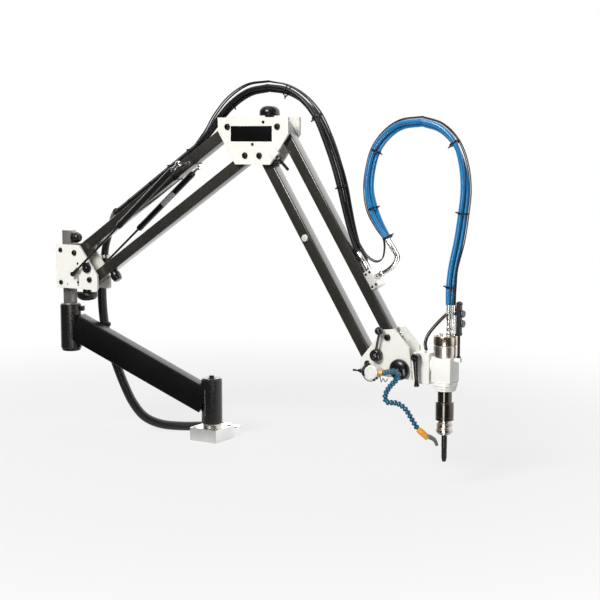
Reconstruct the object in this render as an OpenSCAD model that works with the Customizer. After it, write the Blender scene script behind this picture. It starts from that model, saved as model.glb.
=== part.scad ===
// Arm tapping machine: a column base, a swinging riser beam, two parallelogram arms and a
// tilting head with a hydraulic tapping motor. Millimetres, +Z up. The origin is the centre
// of the base block's underside. The arm hangs in a plane parallel to XZ; U is the distance
// along that plane from the shoulder post's axis.

/* [Base] */
// Side of the square base block
base_side = 110; // [96:1:140]
// Height of the base block
base_h = 45; // [35:1:60]
// Spacing of the four fixing holes
base_bolt_spacing = 84; // [74:1:84]
// Diameter of the fixing holes
base_bolt_d = 11; // [9:0.5:12]
// Diameter of both swing journals
journal_d = 38; // [32:1:42]
// Outside diameter of the two swing sleeves
sleeve_d = 73; // [68:1:78]
// Wall of the swing sleeves
sleeve_wall = 6; // [5:0.5:8]
// Height of the two swing sleeves
sleeve_h = 156; // [140:2:170]
// Thickness of the thrust washer under the base sleeve
base_washer_h = 12; // [6:1:16]
// Radial running clearance of every turning fit
fit = 0.05; // [0.02:0.01:0.1]

/* [Riser beam] */
// Distance between the two swing axes, seen from above
riser_reach = 510; // [480:5:560]
// Angle of the riser beam from the plane of the arm
riser_turn = 21.5; // [15:0.5:30]
// Height of the beam's centre line at the base axis
riser_foot_z = 127; // [120:1:134]
// Rise of the beam's centre line between the axes
riser_rise = 271; // [262:1:280]
// Height of the beam's section
riser_h = 90; // [80:1:96]
// Width of the beam's section
riser_w = 66; // [50:1:67]
// Wall of the beam
riser_wall = 6; // [4:0.5:8]

/* [Shoulder] */
// Height of the upper shoulder pivot above the base's underside
shoulder_z = 650; // [640:2:680]
// Distance of the upper shoulder pivot from the post's axis
shoulder_off = 55; // [52:1:60]
// Post section along the arm
post_w = 38; // [34:1:40]
// Post section across the arm
post_d = 32; // [28:1:36]
// Height of the post's top above the upper pivot
post_over = 75; // [70:1:90]

/* [Arms] */
// Pivot distance of the upper arm
upper_len = 780; // [700:10:860]
// Angle of the upper arm above the horizontal
upper_lift = 33.5; // [28:0.5:38]
// Pivot distance of the forearm
fore_len = 740; // [680:10:800]
// Angle of the forearm below the horizontal
fore_drop = 58; // [52:0.5:62]
// Side of the square arm tubes
tube_w = 38; // [34:1:39]
// Wall of the arm tubes
tube_wall = 3; // [2:0.5:4]
// Horizontal offset between the two pivots of a pair
pivot_dx = 67; // [64:1:70]
// Vertical offset between the two pivots of a pair
pivot_dz = 90; // [86:1:96]
// Half the distance between the elbow's upper pivots
elbow_half = 94; // [94:1:100]
// Thickness of the pivot plates
plate_t = 8; // [6:1:10]
// Gap from the arm's middle plane to a plate
plate_gap = 29; // [28:0.5:31]
// Diameter of the pivot bolts
bolt_d = 12; // [10:1:14]

/* [Gas springs] */
// Diameter of a gas spring's cylinder
spring_d = 22; // [20:1:23]
// Diameter of a gas spring's rod
spring_rod_d = 8; // [7:1:10]
// Length of a gas spring's cylinder
spring_body_len = 310; // [290:5:330]

/* [Head] */
// Distance from the outer head pivot to the spindle's axis
head_reach = 174; // [172:1:180]
// Side of the square motor block
block_w = 62; // [60:1:66]
// Height of the motor block
block_h = 76; // [72:1:82]
// Diameter of the hydraulic motor
motor_d = 70; // [66:1:74]
// Height of the hydraulic motor
motor_h = 64; // [60:1:80]
// Diameter of the tapping chuck
chuck_d = 55; // [50:1:58]
// Diameter of the tap
tap_d = 17; // [12:1:20]
// Travel of the chuck's quick-change sleeve
chuck_travel = 6; // [4:1:8]
// Diameter of the tilt journal
tilt_d = 32; // [28:1:36]
// Travel of a push button
button_travel = 3; // [2:0.5:3]

/* [Hoses] */
// Outside diameter of a pressure hose
hose_d = 15; // [13:1:16]
// Outside diameter of the supply bundle
bundle_d = 32; // [28:1:36]

/* [Hidden] */
$fn = 48;
eps = 0.01;

// Places in the arm's plane, as [U, Z]
sh_up = [shoulder_off, shoulder_z];
pair = [pivot_dx, -pivot_dz];
sh_lo = sh_up + pair;
el_in_up = sh_up + upper_len * [cos(upper_lift), sin(upper_lift)];
el_in_lo = el_in_up + pair;
el_mid = el_in_up + [elbow_half, 0];
el_out_up = el_mid + [elbow_half, 0];
el_out_lo = el_out_up + [-pivot_dx, -pivot_dz];
hd_up = el_out_up + fore_len * [cos(fore_drop), -sin(fore_drop)];
hd_lo = hd_up + [-pivot_dx, -pivot_dz];
spindle_u = hd_up[0] + head_reach;

plate_out = plate_gap + plate_t;
bolt_head_h = 6;
bolt_head_d = 20;
boss_gap = 0.05;
tube_end = 17;
riser_slope = atan2(riser_rise, riser_reach);

base_sleeve_z = base_h + base_washer_h;
sleeve_over = 67;
shoulder_sleeve_z = riser_foot_z + riser_rise + sleeve_over - sleeve_h;
sleeve_top = shoulder_sleeve_z + sleeve_h;
post_washer_h = 4;
bush_len = 30;
sleeve_cap_h = 10;

tilt_z = hd_up[1] - 75;
block_top = tilt_z + 27;
block_bottom = block_top - block_h;
motor_top = block_top + motor_h;
clamp_u = hd_up[0] + 84;
block_u = spindle_u - block_w / 2;
clamp_end = block_u - 7.5;

function spring_foot(rear) = sh_up + (rear ? [29, -69] : [3, -73]);
function spring_head_z(rear) = rear ? -12 : 4;
spring_head_x = 559;
spring_v = 50;

function upper_point(x, z) =
    sh_up + x * [cos(upper_lift), sin(upper_lift)] + z * [-sin(upper_lift), cos(upper_lift)];
function fore_point(x, z) =
    el_out_up + x * [cos(fore_drop), -sin(fore_drop)] + z * [sin(fore_drop), cos(fore_drop)];
function shift(route, to) = [for (p = route) p + to];

hose_run_x = [215, 621];
manifold_off = [208, 150];
manifold_x = [fore_len - manifold_off[0], fore_len - manifold_off[1]];
manifold_t = 29;
manifold_v = 22;
ferrule_len = 30;
port_u = 12.5;
head_ferrule = 44;
hose_end_z = motor_top + 91;

// Routes of the two black hoses over the elbow, as [U, Z] from its middle
ARCH_REAR_MID = [
    [-193, -20], [-154, 22], [-99, 72], [-33, 108], [39, 120]
];
ARCH_FRONT_MID = [
    [39, 120], [106, 110], [167, 78], [215, 30], [250, -34]
];
// The last part of the route, from where the hoses meet the manifold's ferrules
ARCH_FRONT_LOW = [
    [-107, 300], [-83, 226], [-66, 158], [-47, 92], [-25, 32]
];
// Routes of the two blue hoses, as [U, Z] from the outer head pivot
LOOP_RISE_MID = [
    [-20, 292], [-48, 332], [-72, 382], [-86, 439], [-82, 497], [-64, 555], [-28, 600],
    [22, 630], [88, 638]
];
LOOP_DROP_MID = [
    [88, 638], [148, 620], [194, 578], [220, 517], [230, 446], [224, 376], [212, 297],
    [196, 222], [188, 159]
];
ARCH_REAR = concat(
    [upper_point(hose_run_x[1] + 0.1, tube_w / 2 + hose_d / 2)], shift(ARCH_REAR_MID, el_mid)
);
hose_gap = 0.05;
arch_end = fore_point(manifold_x[0] - ferrule_len - hose_gap, tube_w / 2 + manifold_t / 2);
ARCH_FRONT = concat(
    shift(ARCH_FRONT_MID, el_mid), shift(ARCH_FRONT_LOW, arch_end), [arch_end]
);
LOOP_RISE = shift(LOOP_RISE_MID, hd_up);
LOOP_DROP = concat(shift(LOOP_DROP_MID, hd_up), [[spindle_u + port_u, hose_end_z]]);
// Route of the supply bundle: over the shoulder, down past the riser and along the floor,
// as [U, V, Z]
bend_d = 26;
BEND_END = upper_point(hose_run_x[0] - 0.1, tube_w / 2 + bend_d / 2 + 0.3);
SHOULDER_BEND = [
    [84, 88, 630], [92, 87, 668], [116, 76, 711], [152, 52, 752], [186, 24, 779],
    [BEND_END[0], 0, BEND_END[1]]
];
SUPPLY_HANG = [
    [84, 88, 630], [73, 88, 560], [70, 88, 480], [76, 92, 387]
];
SUPPLY_FLOOR = [
    [76, 92, 387], [93, 100, 310], [117, 108, 236], [143, 118, 165], [168, 132, 105],
    [200, 156, 54], [246, 192, 26], [306, 236, 17], [372, 278, 17], [440, 306, 17]
];

// ---- helpers ----

// Moves children from the shoulder axis's own frame to the part's frame
module arm_plane()
    translate([-riser_reach * cos(riser_turn), -riser_reach * sin(riser_turn), 0]) children();

// The same at one place of the arm's plane
module at(p)
    arm_plane() translate([p[0], 0, p[1]]) children();

// Local +X along the riser beam, from the base axis to the shoulder axis
module riser_frame()
    rotate([0, 0, 180 + riser_turn]) children();

// A cylinder across the arm, from v0 to v1
module across(r, v0, v1)
    translate([0, v0, 0]) rotate([-90, 0, 0]) cylinder(r = r, h = v1 - v0);

// An outline of the arm's plane, extruded from v0 to v1
module slab(points, v0, v1)
    translate([0, v1, 0]) rotate([90, 0, 0]) linear_extrude(v1 - v0) polygon(points);

// A square tube along +X between two pivots, with a hole at each for the pivot's boss
module arm_tube(len)
    difference() {
        translate([-tube_end, -tube_w / 2, -tube_w / 2])
            cube([len + 2 * tube_end, tube_w, tube_w]);
        translate([-tube_end - 1, -tube_w / 2 + tube_wall, -tube_w / 2 + tube_wall])
            cube([len + 2 * tube_end + 2, tube_w - 2 * tube_wall, tube_w - 2 * tube_wall]);
        for (x = [0, len])
            translate([x, 0, 0]) across(13, -tube_w, tube_w);
    }

// A bored block and bosses that fill one end of an arm tube
module pivot_block()
    difference() {
        union() {
            inner = tube_w - 2 * tube_wall;
            translate([-tube_end, -inner / 2, -inner / 2]) cube([2 * tube_end, inner, inner]);
            across(13, -tube_w / 2, tube_w / 2);
            for (s = [-1, 1])
                translate([0, s > 0 ? tube_w / 2 : -plate_gap + boss_gap, 0])
                    across(16, 0, plate_gap - boss_gap - tube_w / 2);
        }
        across(bolt_d / 2 + fit, -plate_gap, plate_gap);
    }

module pivot_pair(len) {
    pivot_block();
    translate([len, 0, 0]) pivot_block();
}

// A pivot bolt through both plates: low round head in front, nut behind
module pivot_bolt() {
    across(bolt_d / 2, -plate_out, plate_out);
    translate([0, -plate_out - bolt_head_h, 0]) rotate([-90, 0, 0])
        cylinder(d1 = bolt_head_d * 0.7, d2 = bolt_head_d, h = bolt_head_h);
    translate([0, plate_out, 0]) rotate([-90, 0, 0])
        cylinder(d = bolt_head_d, h = 8, $fn = 6);
}

// A rubber dome on a short stem, along +Z
module dome_bumper(d, h, stem_d, stem_h) {
    cylinder(d = stem_d, h = stem_h);
    translate([0, 0, stem_h]) rotate_extrude() polygon([
        [0, 0], [d * 0.44, 0], [d * 0.5, h * 0.12], [d * 0.5, h * 0.45], [d * 0.45, h * 0.7],
        [d * 0.33, h * 0.9], [d * 0.17, h], [0, h]
    ]);
}

function unit3(v) = v / norm(v);

// A tube swept along points; ref is a direction that the route never follows, and the end
// faces look along start and end where those are given
module hose(points, d, ref = [0, 1, 0], sides = 10, start = undef, end = undef) {
    n = len(points);
    rings = [
        for (i = [0 : n - 1])
            let (
                to = i == 0 && start != undef ? start
                    : i == n - 1 && end != undef ? end
                    : points[min(i + 1, n - 1)] - points[max(i - 1, 0)],
                t = unit3(to),
                a = unit3(cross(t, ref)),
                b = cross(t, a)
            )
            for (k = [0 : sides - 1])
                points[i] + d / 2 * (cos(360 * k / sides) * a + sin(360 * k / sides) * b)
    ];
    faces = concat(
        [[for (k = [0 : sides - 1]) k]],
        [for (i = [0 : n - 2]) for (k = [0 : sides - 1])
            let (j = (k + 1) % sides)
            [i * sides + k, (i + 1) * sides + k, (i + 1) * sides + j, i * sides + j]],
        [[for (k = [sides - 1 : -1 : 0]) (n - 1) * sides + k]]
    );
    polyhedron(rings, faces, convexity = 6);
}

function in_plane(route, v) = [for (p = route) [p[0], v, p[1]]];

function flat3(p) = p == undef ? undef : [p[0], 0, p[1]];

// Two hoses side by side along a route of the arm's plane
module hose_pair(route, d, start = undef, end = undef)
    arm_plane() for (s = [-1, 1])
        hose(in_plane(route, s * (d / 2 + 0.2)), d, start = flat3(start), end = flat3(end));

// The direction of a route where it is cut between two hoses
function through(before, after) = after[1] - before[len(before) - 2];

// A route whose first point stands a little clear of what the hose meets there
function trimmed(route, dir) =
    concat([route[0] + hose_gap * unit3(dir)], [for (i = [1 : len(route) - 1]) route[i]]);

// ---- base ----

base_hole_depth = 12;

module base_block()
    color("silver") difference() {
        translate([-base_side / 2, -base_side / 2, 0]) cube([base_side, base_side, base_h]);
        for (x = [-1, 1], y = [-1, 1])
            translate([x * base_bolt_spacing / 2, y * base_bolt_spacing / 2, 0]) {
                translate([0, 0, -1]) cylinder(d = base_bolt_d, h = base_h + 2);
                translate([0, 0, base_h - base_hole_depth])
                    cylinder(d = base_bolt_d * 1.7, h = base_hole_depth + 1);
            }
    }

// The journal, on a flange that carries the sleeve
module base_post()
    color("gray") translate([0, 0, base_h]) {
        cylinder(d = sleeve_d - 8, h = base_washer_h - 0.1);
        cylinder(d = journal_d, h = base_washer_h + sleeve_h - 4);
    }

// The cover washer and the bolt that hold the sleeve down
module base_cap()
    color("dimgray") translate([0, 0, base_sleeve_z + sleeve_h + 0.1]) {
        cylinder(d = sleeve_d - 6, h = 4);
        translate([0, 0, -4.1]) cylinder(d = journal_d - 4, h = 4.2);
        translate([0, 0, 4]) cylinder(d = 18, h = 8);
    }

// ---- riser ----

module swing_sleeve()
    difference() {
        cylinder(d = sleeve_d, h = sleeve_h);
        translate([0, 0, -1]) cylinder(d = sleeve_d - 2 * sleeve_wall, h = sleeve_h + 2);
    }

module bush_pair()
    for (z = [0, sleeve_h - bush_len])
        translate([0, 0, z]) difference() {
            cylinder(d = sleeve_d - 2 * sleeve_wall, h = bush_len);
            translate([0, 0, -1]) cylinder(d = journal_d + 2 * fit, h = bush_len + 2);
        }

module base_sleeve()
    color("#1c1b1c") translate([0, 0, base_sleeve_z]) swing_sleeve();

module swing_bushes()
    color("goldenrod") {
        translate([0, 0, base_sleeve_z]) bush_pair();
        arm_plane() translate([0, 0, shoulder_sleeve_z]) bush_pair();
    }

// How far the clip's arm goes into the beam's wall
clip_bite = 1;

// Where the beam's rear face cuts the clip's arm
riser_clip_cut = 60 + riser_w / 2
    - (cos(riser_turn) * SUPPLY_FLOOR[0][1] - sin(riser_turn) * SUPPLY_FLOOR[0][0]);

module beam_outline(h, x0, x1)
    rotate([90, 0, 0]) linear_extrude(h[1], center = true) polygon([
        for (e = [[x0, -1], [x1, -1], [x1, 1], [x0, 1]])
            [e[0], riser_foot_z + e[0] * tan(riser_slope) + e[1] * h[0] / 2 / cos(riser_slope)]
    ]);

// A box beam whose ends are cut to the round of the sleeves, with the bundle's clip behind
module riser_beam()
    color("#1c1b1c") {
        riser_box();
        arm_plane() translate(SUPPLY_FLOOR[0]) difference() {
            hose_clip(34);
            rotate([0, 0, riser_turn]) translate([-40, -60, -10])
                cube([80, riser_clip_cut - clip_bite, 20]);
        }
    }

module riser_box()
    riser_frame() difference() {
        beam_outline([riser_h, riser_w], 5, riser_reach - 5);
        beam_outline([riser_h - 2 * riser_wall, riser_w - 2 * riser_wall], 0, riser_reach);
        for (x = [0, riser_reach])
            translate([x, 0, 0]) cylinder(d = sleeve_d, h = 3 * riser_rise);
    }

// The sleeve and the small stop lug beside its top
module shoulder_sleeve()
    color("#1c1b1c") {
        arm_plane() translate([0, 0, shoulder_sleeve_z]) swing_sleeve();
        riser_frame() translate([riser_reach, 0, sleeve_top - 24]) difference() {
            translate([-sleeve_d / 2 - 14, -8, 0]) cube([16, 16, 18]);
            translate([0, 0, -1]) cylinder(d = sleeve_d, h = 20);
        }
    }

module sleeve_cap()
    color("#1c1b1c") arm_plane() translate([0, 0, shoulder_sleeve_z - sleeve_cap_h])
        rotate_extrude() polygon([
            [0, 0], [sleeve_d / 2 - 8, 0], [sleeve_d / 2 - 4, 3], [sleeve_d / 2 - 3, sleeve_cap_h],
            [0, sleeve_cap_h]
        ]);

// ---- shoulder ----

module shoulder_post()
    color("#3a3638") arm_plane() {
        translate([0, 0, shoulder_sleeve_z + 6])
            cylinder(d = journal_d, h = sleeve_h - 6 + post_washer_h + eps);
        translate([0, 0, sleeve_top + 0.1]) cylinder(d = sleeve_d - 8, h = post_washer_h - 0.1);
        translate([-post_w / 2, -post_d / 2, sleeve_top + post_washer_h])
            cube([post_w, post_d, shoulder_z + post_over - sleeve_top - post_washer_h]);
    }

shoulder_outline = [
    [-30, 27], [20, 27], [101, -75], [101, -122], [96, -125], [-30, -125]
];

function shoulder_points() = [
    for (p = shoulder_outline)
        [p[0] < 0 ? p[0] : p[0] + shoulder_off, p[1] + shoulder_z]
];

post_bolt_u = -8;
post_bolt_z = [7, -106];
slot_u = 15;
slot_z = [-114, -84];

module shoulder_plate(v0)
    color("#efece2") arm_plane() difference() {
        slab(shoulder_points(), v0, v0 + plate_t);
        for (p = [sh_up, sh_lo])
            translate([p[0], 0, p[1]]) across(bolt_d / 2, v0 - 1, v0 + plate_t + 1);
        for (dz = post_bolt_z)
            translate([post_bolt_u, 0, shoulder_z + dz]) across(5, v0 - 1, v0 + plate_t + 1);
        translate([shoulder_off + slot_u, 0, shoulder_z + slot_z[0]])
            across(3, v0 - 1, v0 + plate_t + 1);
        translate([shoulder_off + slot_u, 0, shoulder_z + slot_z[1]])
            across(3, v0 - 1, v0 + plate_t + 1);
        translate([shoulder_off + slot_u - 3, v0 - 1, shoulder_z + slot_z[0]])
            cube([6, plate_t + 2, slot_z[1] - slot_z[0]]);
    }

module shoulder_plates() {
    shoulder_plate(-plate_out);
    shoulder_plate(plate_gap);
}

// The two pivot bolts and the two that clamp the plates and their spacers to the post
module shoulder_bolts()
    color("#222222") {
        at(sh_up) pivot_bolt();
        at(sh_lo) pivot_bolt();
        for (dz = post_bolt_z, s = [-1, 1])
            at([post_bolt_u, shoulder_z + dz]) {
                spacer_v = s > 0 ? post_d / 2 : -plate_gap;
                across_v = s > 0 ? post_d / 2 : -plate_out;
                across(5, across_v, across_v + plate_out - post_d / 2);
                across(9, spacer_v, spacer_v + plate_gap - post_d / 2);
                across(8, s > 0 ? plate_out : -plate_out - 5, s > 0 ? plate_out + 5 : -plate_out);
            }
    }

bridge_u = shoulder_off + 23;
bridge_z = shoulder_z - 125;

stud_gap = 0.5;

// A clip ring round the supply bundle, with its arm towards -V
module hose_clip(arm)
    difference() {
        union() {
            translate([0, 0, -6]) cylinder(d = bundle_d + 12, h = 12);
            translate([-8, -arm, -6]) cube([16, arm - bundle_d / 2, 12]);
        }
        translate([0, 0, -7]) cylinder(d = bundle_d + 5, h = 14);
    }

// The bar between the plates, the studs that the gas springs' feet stand against and the
// clip of the supply bundle
module shoulder_fittings()
    color("silver") {
        arm_plane() translate(SUPPLY_HANG[0]) hose_clip(SUPPLY_HANG[0][1] - plate_out);
        arm_plane() translate([bridge_u - 16, -plate_gap, bridge_z])
            cube([32, 2 * plate_gap, 18]);
        for (rear = [false, true]) {
            v_end = spring_v - 7 - stud_gap;
            at(spring_foot(rear)) across(5, rear ? plate_out : -v_end, rear ? v_end : -plate_out);
        }
    }

shoulder_dome_d = 74;
shoulder_dome_h = 32;
post_bumper_z = 50;
post_bumper_d = 38;

// The dome under the shoulder and the stepped one on the post
module shoulder_bumpers()
    color("#151515") {
        at([bridge_u, bridge_z]) rotate([180, 0, 0])
            dome_bumper(shoulder_dome_d, shoulder_dome_h, 30, 12);
        at([post_w / 2, shoulder_z + post_bumper_z]) rotate([0, 90, 0]) {
            cylinder(d = post_bumper_d - 8, h = 6);
            translate([0, 0, 6]) cylinder(d = post_bumper_d, h = 14);
            translate([0, 0, 20]) cylinder(d1 = post_bumper_d - 4, d2 = 24, h = 12);
        }
    }

// ---- upper arm ----

module upper_frame(p) at(p) rotate([0, -upper_lift, 0]) children();

module upper_tube() color("#353330") upper_frame(sh_up) arm_tube(upper_len);

module lower_tube() color("#353330") upper_frame(sh_lo) arm_tube(upper_len);

// The bored ends of the upper tube and the studs of the gas springs' heads
module upper_pivots()
    color("#8d8a84") upper_frame(sh_up) {
        pivot_pair(upper_len);
        for (rear = [false, true])
            translate([spring_head_x, 0, spring_head_z(rear)])
                across(4, rear ? tube_w / 2 : -spring_v - 7, rear ? spring_v + 7 : -tube_w / 2);
    }

module lower_pivots() color("#8d8a84") upper_frame(sh_lo) pivot_pair(upper_len);

// Two hoses that lie along the top of the upper tube
module hose_upper_run()
    color("#181818") upper_frame(sh_up) for (s = [-1, 1])
        translate([hose_run_x[0], s * (hose_d / 2 + 0.2), tube_w / 2 + hose_d / 2])
            rotate([0, 90, 0]) cylinder(d = hose_d, h = hose_run_x[1] - hose_run_x[0]);

module lower_tube_bumper()
    color("#151515") upper_frame(sh_lo) translate([81, 0, -tube_w / 2]) rotate([180, 0, 0]) {
        cylinder(d = 30, h = 8);
        translate([0, 0, 8]) cylinder(d = 36, h = 16);
        translate([0, 0, 24]) cylinder(d1 = 34, d2 = 24, h = 10);
    }

// ---- gas springs ----

function spring_top(rear) =
    sh_up + [
        spring_head_x * cos(upper_lift) - spring_head_z(rear) * sin(upper_lift),
        spring_head_x * sin(upper_lift) + spring_head_z(rear) * cos(upper_lift)
    ];
function spring_len(rear) = norm(spring_top(rear) - spring_foot(rear));
function spring_angle(rear) =
    let (d = spring_top(rear) - spring_foot(rear)) atan2(d[1], d[0]);

// Local +X from the lower end to the upper end, at the spring's own V
module spring_frame(rear)
    at(spring_foot(rear)) translate([0, rear ? spring_v : -spring_v, 0])
        rotate([0, -spring_angle(rear), 0]) children();

spring_eye = 26;

module spring_body(rear)
    spring_frame(rear) {
        l = spring_len(rear);
        color("#1b1b1b") difference() {
            translate([l - spring_eye - spring_body_len, 0, 0]) rotate([0, 90, 0])
                cylinder(d = spring_d, h = spring_body_len);
            translate([l - spring_eye - spring_body_len - 1, 0, 0]) rotate([0, 90, 0])
                cylinder(d = spring_rod_d + 2 * fit, h = spring_body_len - 14);
        }
        color("silver") difference() {
            union() {
                translate([l - spring_eye - eps, 0, 0]) rotate([0, 90, 0])
                    cylinder(d = 12, h = spring_eye - 4);
                translate([l, 0, 0]) across(9, -7, 7);
            }
            translate([l, 0, 0]) across(4 + fit, -8, 8);
        }
    }

module spring_rod(rear)
    color("silver") spring_frame(rear) {
        l = spring_len(rear);
        rotate([0, 90, 0]) cylinder(d = spring_rod_d, h = l - spring_eye - 80);
        rotate([0, 90, 0]) cylinder(d = 13, h = 26);
        across(8.5, -7, 7);
    }

module spring_body_front() spring_body(false);

module spring_body_rear() spring_body(true);

module spring_rod_front() spring_rod(false);

module spring_rod_rear() spring_rod(true);

// ---- elbow ----

function elbow_points() = [
    [-elbow_half - 38, 29], [-elbow_half - 36, -16], [-65, -pivot_dz - 28],
    [65, -pivot_dz - 28], [elbow_half + 40, -24], [elbow_half + 40, 29]
];
elbow_small_holes = [[42, 14], [1, -55]];

module elbow_plate(v0)
    color("#efece2") at(el_mid) difference() {
        slab(elbow_points(), v0, v0 + plate_t);
        for (p = [[-elbow_half, 0], [elbow_half, 0], [pivot_dx - elbow_half, -pivot_dz],
            [elbow_half - pivot_dx, -pivot_dz]])
            translate([p[0], 0, p[1]]) across(bolt_d / 2, v0 - 1, v0 + plate_t + 1);
        for (p = elbow_small_holes)
            translate([p[0], 0, p[1]]) across(4, v0 - 1, v0 + plate_t + 1);
    }

module elbow_plates() {
    elbow_plate(-plate_out);
    elbow_plate(plate_gap);
}

// The pivot bolts, and the two bars that hold the plates apart with their screws
module elbow_bolts() {
    color("#222222") for (p = [el_in_up, el_in_lo, el_out_up, el_out_lo]) at(p) pivot_bolt();
    color("silver") at(el_mid) {
        translate([22, -plate_gap, 0]) cube([40, 2 * plate_gap, 29]);
        translate([1, 0, -55]) across(8, -plate_gap, plate_gap);
        for (p = elbow_small_holes) translate([p[0], 0, p[1]]) {
            across(4, -plate_out - 2, -plate_gap + eps);
            across(4, plate_gap - eps, plate_out + 2);
        }
    }
}

module elbow_bumper()
    color("#151515") at(el_mid) translate([42, 0, 29]) dome_bumper(66, 32, 30, 5);

module elbow_label()
    color("#101010") at(el_mid) translate([-81, -plate_out - 1, -46]) cube([155, 1, 48]);

stop_tilt = 44;
stop_rod_d = 10;
stop_rod_len = 62;

// A bracket at the elbow's lower right corner and the threaded stop rod it holds
module elbow_stop()
    color("#c9c6bd") at(el_mid + [92, -88]) rotate([0, stop_tilt, 0])
        translate([0, -plate_out - 13, 0]) {
            translate([-22, 0, -15]) cube([28, 13, 30]);
            translate([6 - eps, 6.5, 0]) rotate([0, 90, 0])
                cylinder(d = stop_rod_d, h = stop_rod_len);
            translate([14, 6.5, 0]) rotate([0, 90, 0]) cylinder(d = 20, h = 8, $fn = 6);
        }

// ---- forearm ----

module fore_frame(p) at(p) rotate([0, fore_drop, 0]) children();

module fore_outer_tube() color("#353330") fore_frame(el_out_up) arm_tube(fore_len);

module fore_inner_tube() color("#353330") fore_frame(el_out_lo) arm_tube(fore_len);

module fore_outer_pivots() color("#8d8a84") fore_frame(el_out_up) pivot_pair(fore_len);

tube_cap_x = 298;

module fore_inner_pivots()
    color("#8d8a84") fore_frame(el_out_lo) {
        pivot_pair(fore_len);
        translate([tube_cap_x, -tube_w / 2 - 6, 0]) across(9, 0, 6);
    }

// The block on the outer tube where the pressure hoses end
module hose_manifold()
    color("#d8d5cc") fore_frame(el_out_up)
        translate([manifold_x[0], -manifold_v, tube_w / 2])
            cube([manifold_x[1] - manifold_x[0], 2 * manifold_v, manifold_t]);

// A straight round bar between two places of the arm's plane
module strut(p0, p1, d)
    translate([p0[0], 0, p0[1]]) rotate([0, atan2(p1[0] - p0[0], p1[1] - p0[1]), 0])
        cylinder(d = d, h = norm(p1 - p0));

MANIFOLD_BEND_MID = [[-31, 192], [-8, 207], [8, 225], [13, 243], [3, 259]];
MANIFOLD_BEND = concat(
    [fore_point(manifold_x[0] + 28, tube_w / 2 + manifold_t)], shift(MANIFOLD_BEND_MID, hd_up)
);
bend_exit = MANIFOLD_BEND[5];
pair_v = hose_d / 2 + 0.2;
ferrule_d = hose_d;

// Two bent steel ends with their ferrules, and the ferrules of the black hoses
module manifold_fittings()
    color("silver") {
        arm_plane() for (s = [-1, 1]) {
            hose(in_plane(MANIFOLD_BEND, s * pair_v), 11);
            translate([0, s * pair_v, 0]) {
                strut(bend_exit, LOOP_RISE[0] - hose_gap * unit3(LOOP_RISE[0] - bend_exit), ferrule_d);
                strut(MANIFOLD_BEND[0], MANIFOLD_BEND[0] + [13, 8], ferrule_d);
            }
        }
        fore_frame(el_out_up) for (s = [-1, 1])
            translate([manifold_x[0] - ferrule_len, s * pair_v, tube_w / 2 + manifold_t / 2])
                rotate([0, 90, 0]) cylinder(d = ferrule_d, h = ferrule_len);
    }

// ---- head ----

function head_points() = [
    [-15, 22], [22, 27], [73, -27], [83, -122], [-pivot_dx - 25, -pivot_dz - 26],
    [-pivot_dx - 25, -pivot_dz + 18]
];

module head_plate(v0)
    color("#efece2") at(hd_up) difference() {
        slab(head_points(), v0, v0 + plate_t);
        for (p = [[0, 0], [-pivot_dx, -pivot_dz]])
            translate([p[0], 0, p[1]]) across(bolt_d / 2, v0 - 1, v0 + plate_t + 1);
    }

module head_plates() {
    head_plate(-plate_out);
    head_plate(plate_gap);
}

module head_bolts()
    color("#222222") {
        at(hd_up) pivot_bolt();
        at(hd_lo) pivot_bolt();
    }

clamp_v = 30;
clamp_below = 56;
clamp_above = 37;
tongue_len = 44;
lever_z = 24;

// The split clamp of the tilt journal, with a tongue between the head's plates
module head_clamp()
    color("#e6e3d9") arm_plane() translate([0, 0, tilt_z]) difference() {
        union() {
            translate([clamp_u, -clamp_v, -clamp_below])
                cube([clamp_end - clamp_u, 2 * clamp_v, clamp_below + clamp_above]);
            translate([clamp_u - tongue_len, -plate_gap, -35])
                cube([tongue_len + 1, 2 * plate_gap, 50]);
        }
        translate([clamp_u + 5, 0, 0]) rotate([0, 90, 0])
            cylinder(d = tilt_d + 2 * fit, h = clamp_end - clamp_u);
        translate([clamp_u + 5, -1.5, 0]) cube([clamp_end - clamp_u, 3, clamp_above + 1]);
        translate([clamp_u + 16, 0, lever_z]) across(5 + fit, -clamp_v - 1, clamp_v - 6);
    }

head_bumper_rel = [44, -93];

module head_bumper()
    color("#151515") at(hd_up + head_bumper_rel) translate([0, -plate_out, 0])
        rotate([90, 0, 0]) dome_bumper(64, 20, 30, 3);

coolant_v = -61;
valve_d = 46;
valve_t = 34;
valve_u = [-58, -12];
valve_z = -104.5;
stem_len = 47;
knob_len = 23;

// The coolant valve: bracket, round body, stem and the adaptor of the line
module coolant_valve()
    color("#e8e6df") at(hd_up + [0, valve_z]) translate([0, coolant_v, 0]) {
        translate([valve_u[0] + 18, 0, -10]) cube([20, -coolant_v - plate_out, 20]);
        translate([valve_u[0] + valve_d / 2, 0, 0]) across(valve_d / 2, -valve_t / 2, valve_t / 2);
        translate([valve_u[0] - stem_len, 0, 0]) rotate([0, 90, 0])
            cylinder(d = 8, h = stem_len + 6);
        translate([valve_u[1] - 6, 0, 0]) rotate([0, 90, 0]) cylinder(d = 21, h = 18);
    }

// A quarter-turn knob with a short hooked bar, on the valve's stem
module coolant_lever()
    color("#2a2a2a") at(hd_up + [valve_u[0] - knob_len - 0.5, valve_z])
        translate([0, coolant_v, 0]) difference() {
            union() {
                rotate([0, 90, 0]) cylinder(d1 = 13, d2 = 34, h = knob_len);
                translate([knob_len - 4, 0, 12]) cylinder(d = 7, h = 18);
                translate([knob_len - 7.5, 0, 30]) rotate([0, 90, 0]) cylinder(d = 7, h = 16);
            }
            translate([-1, 0, 0]) rotate([0, 90, 0])
                cylinder(d = 8 + 2 * fit, h = knob_len + 2);
        }

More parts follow.
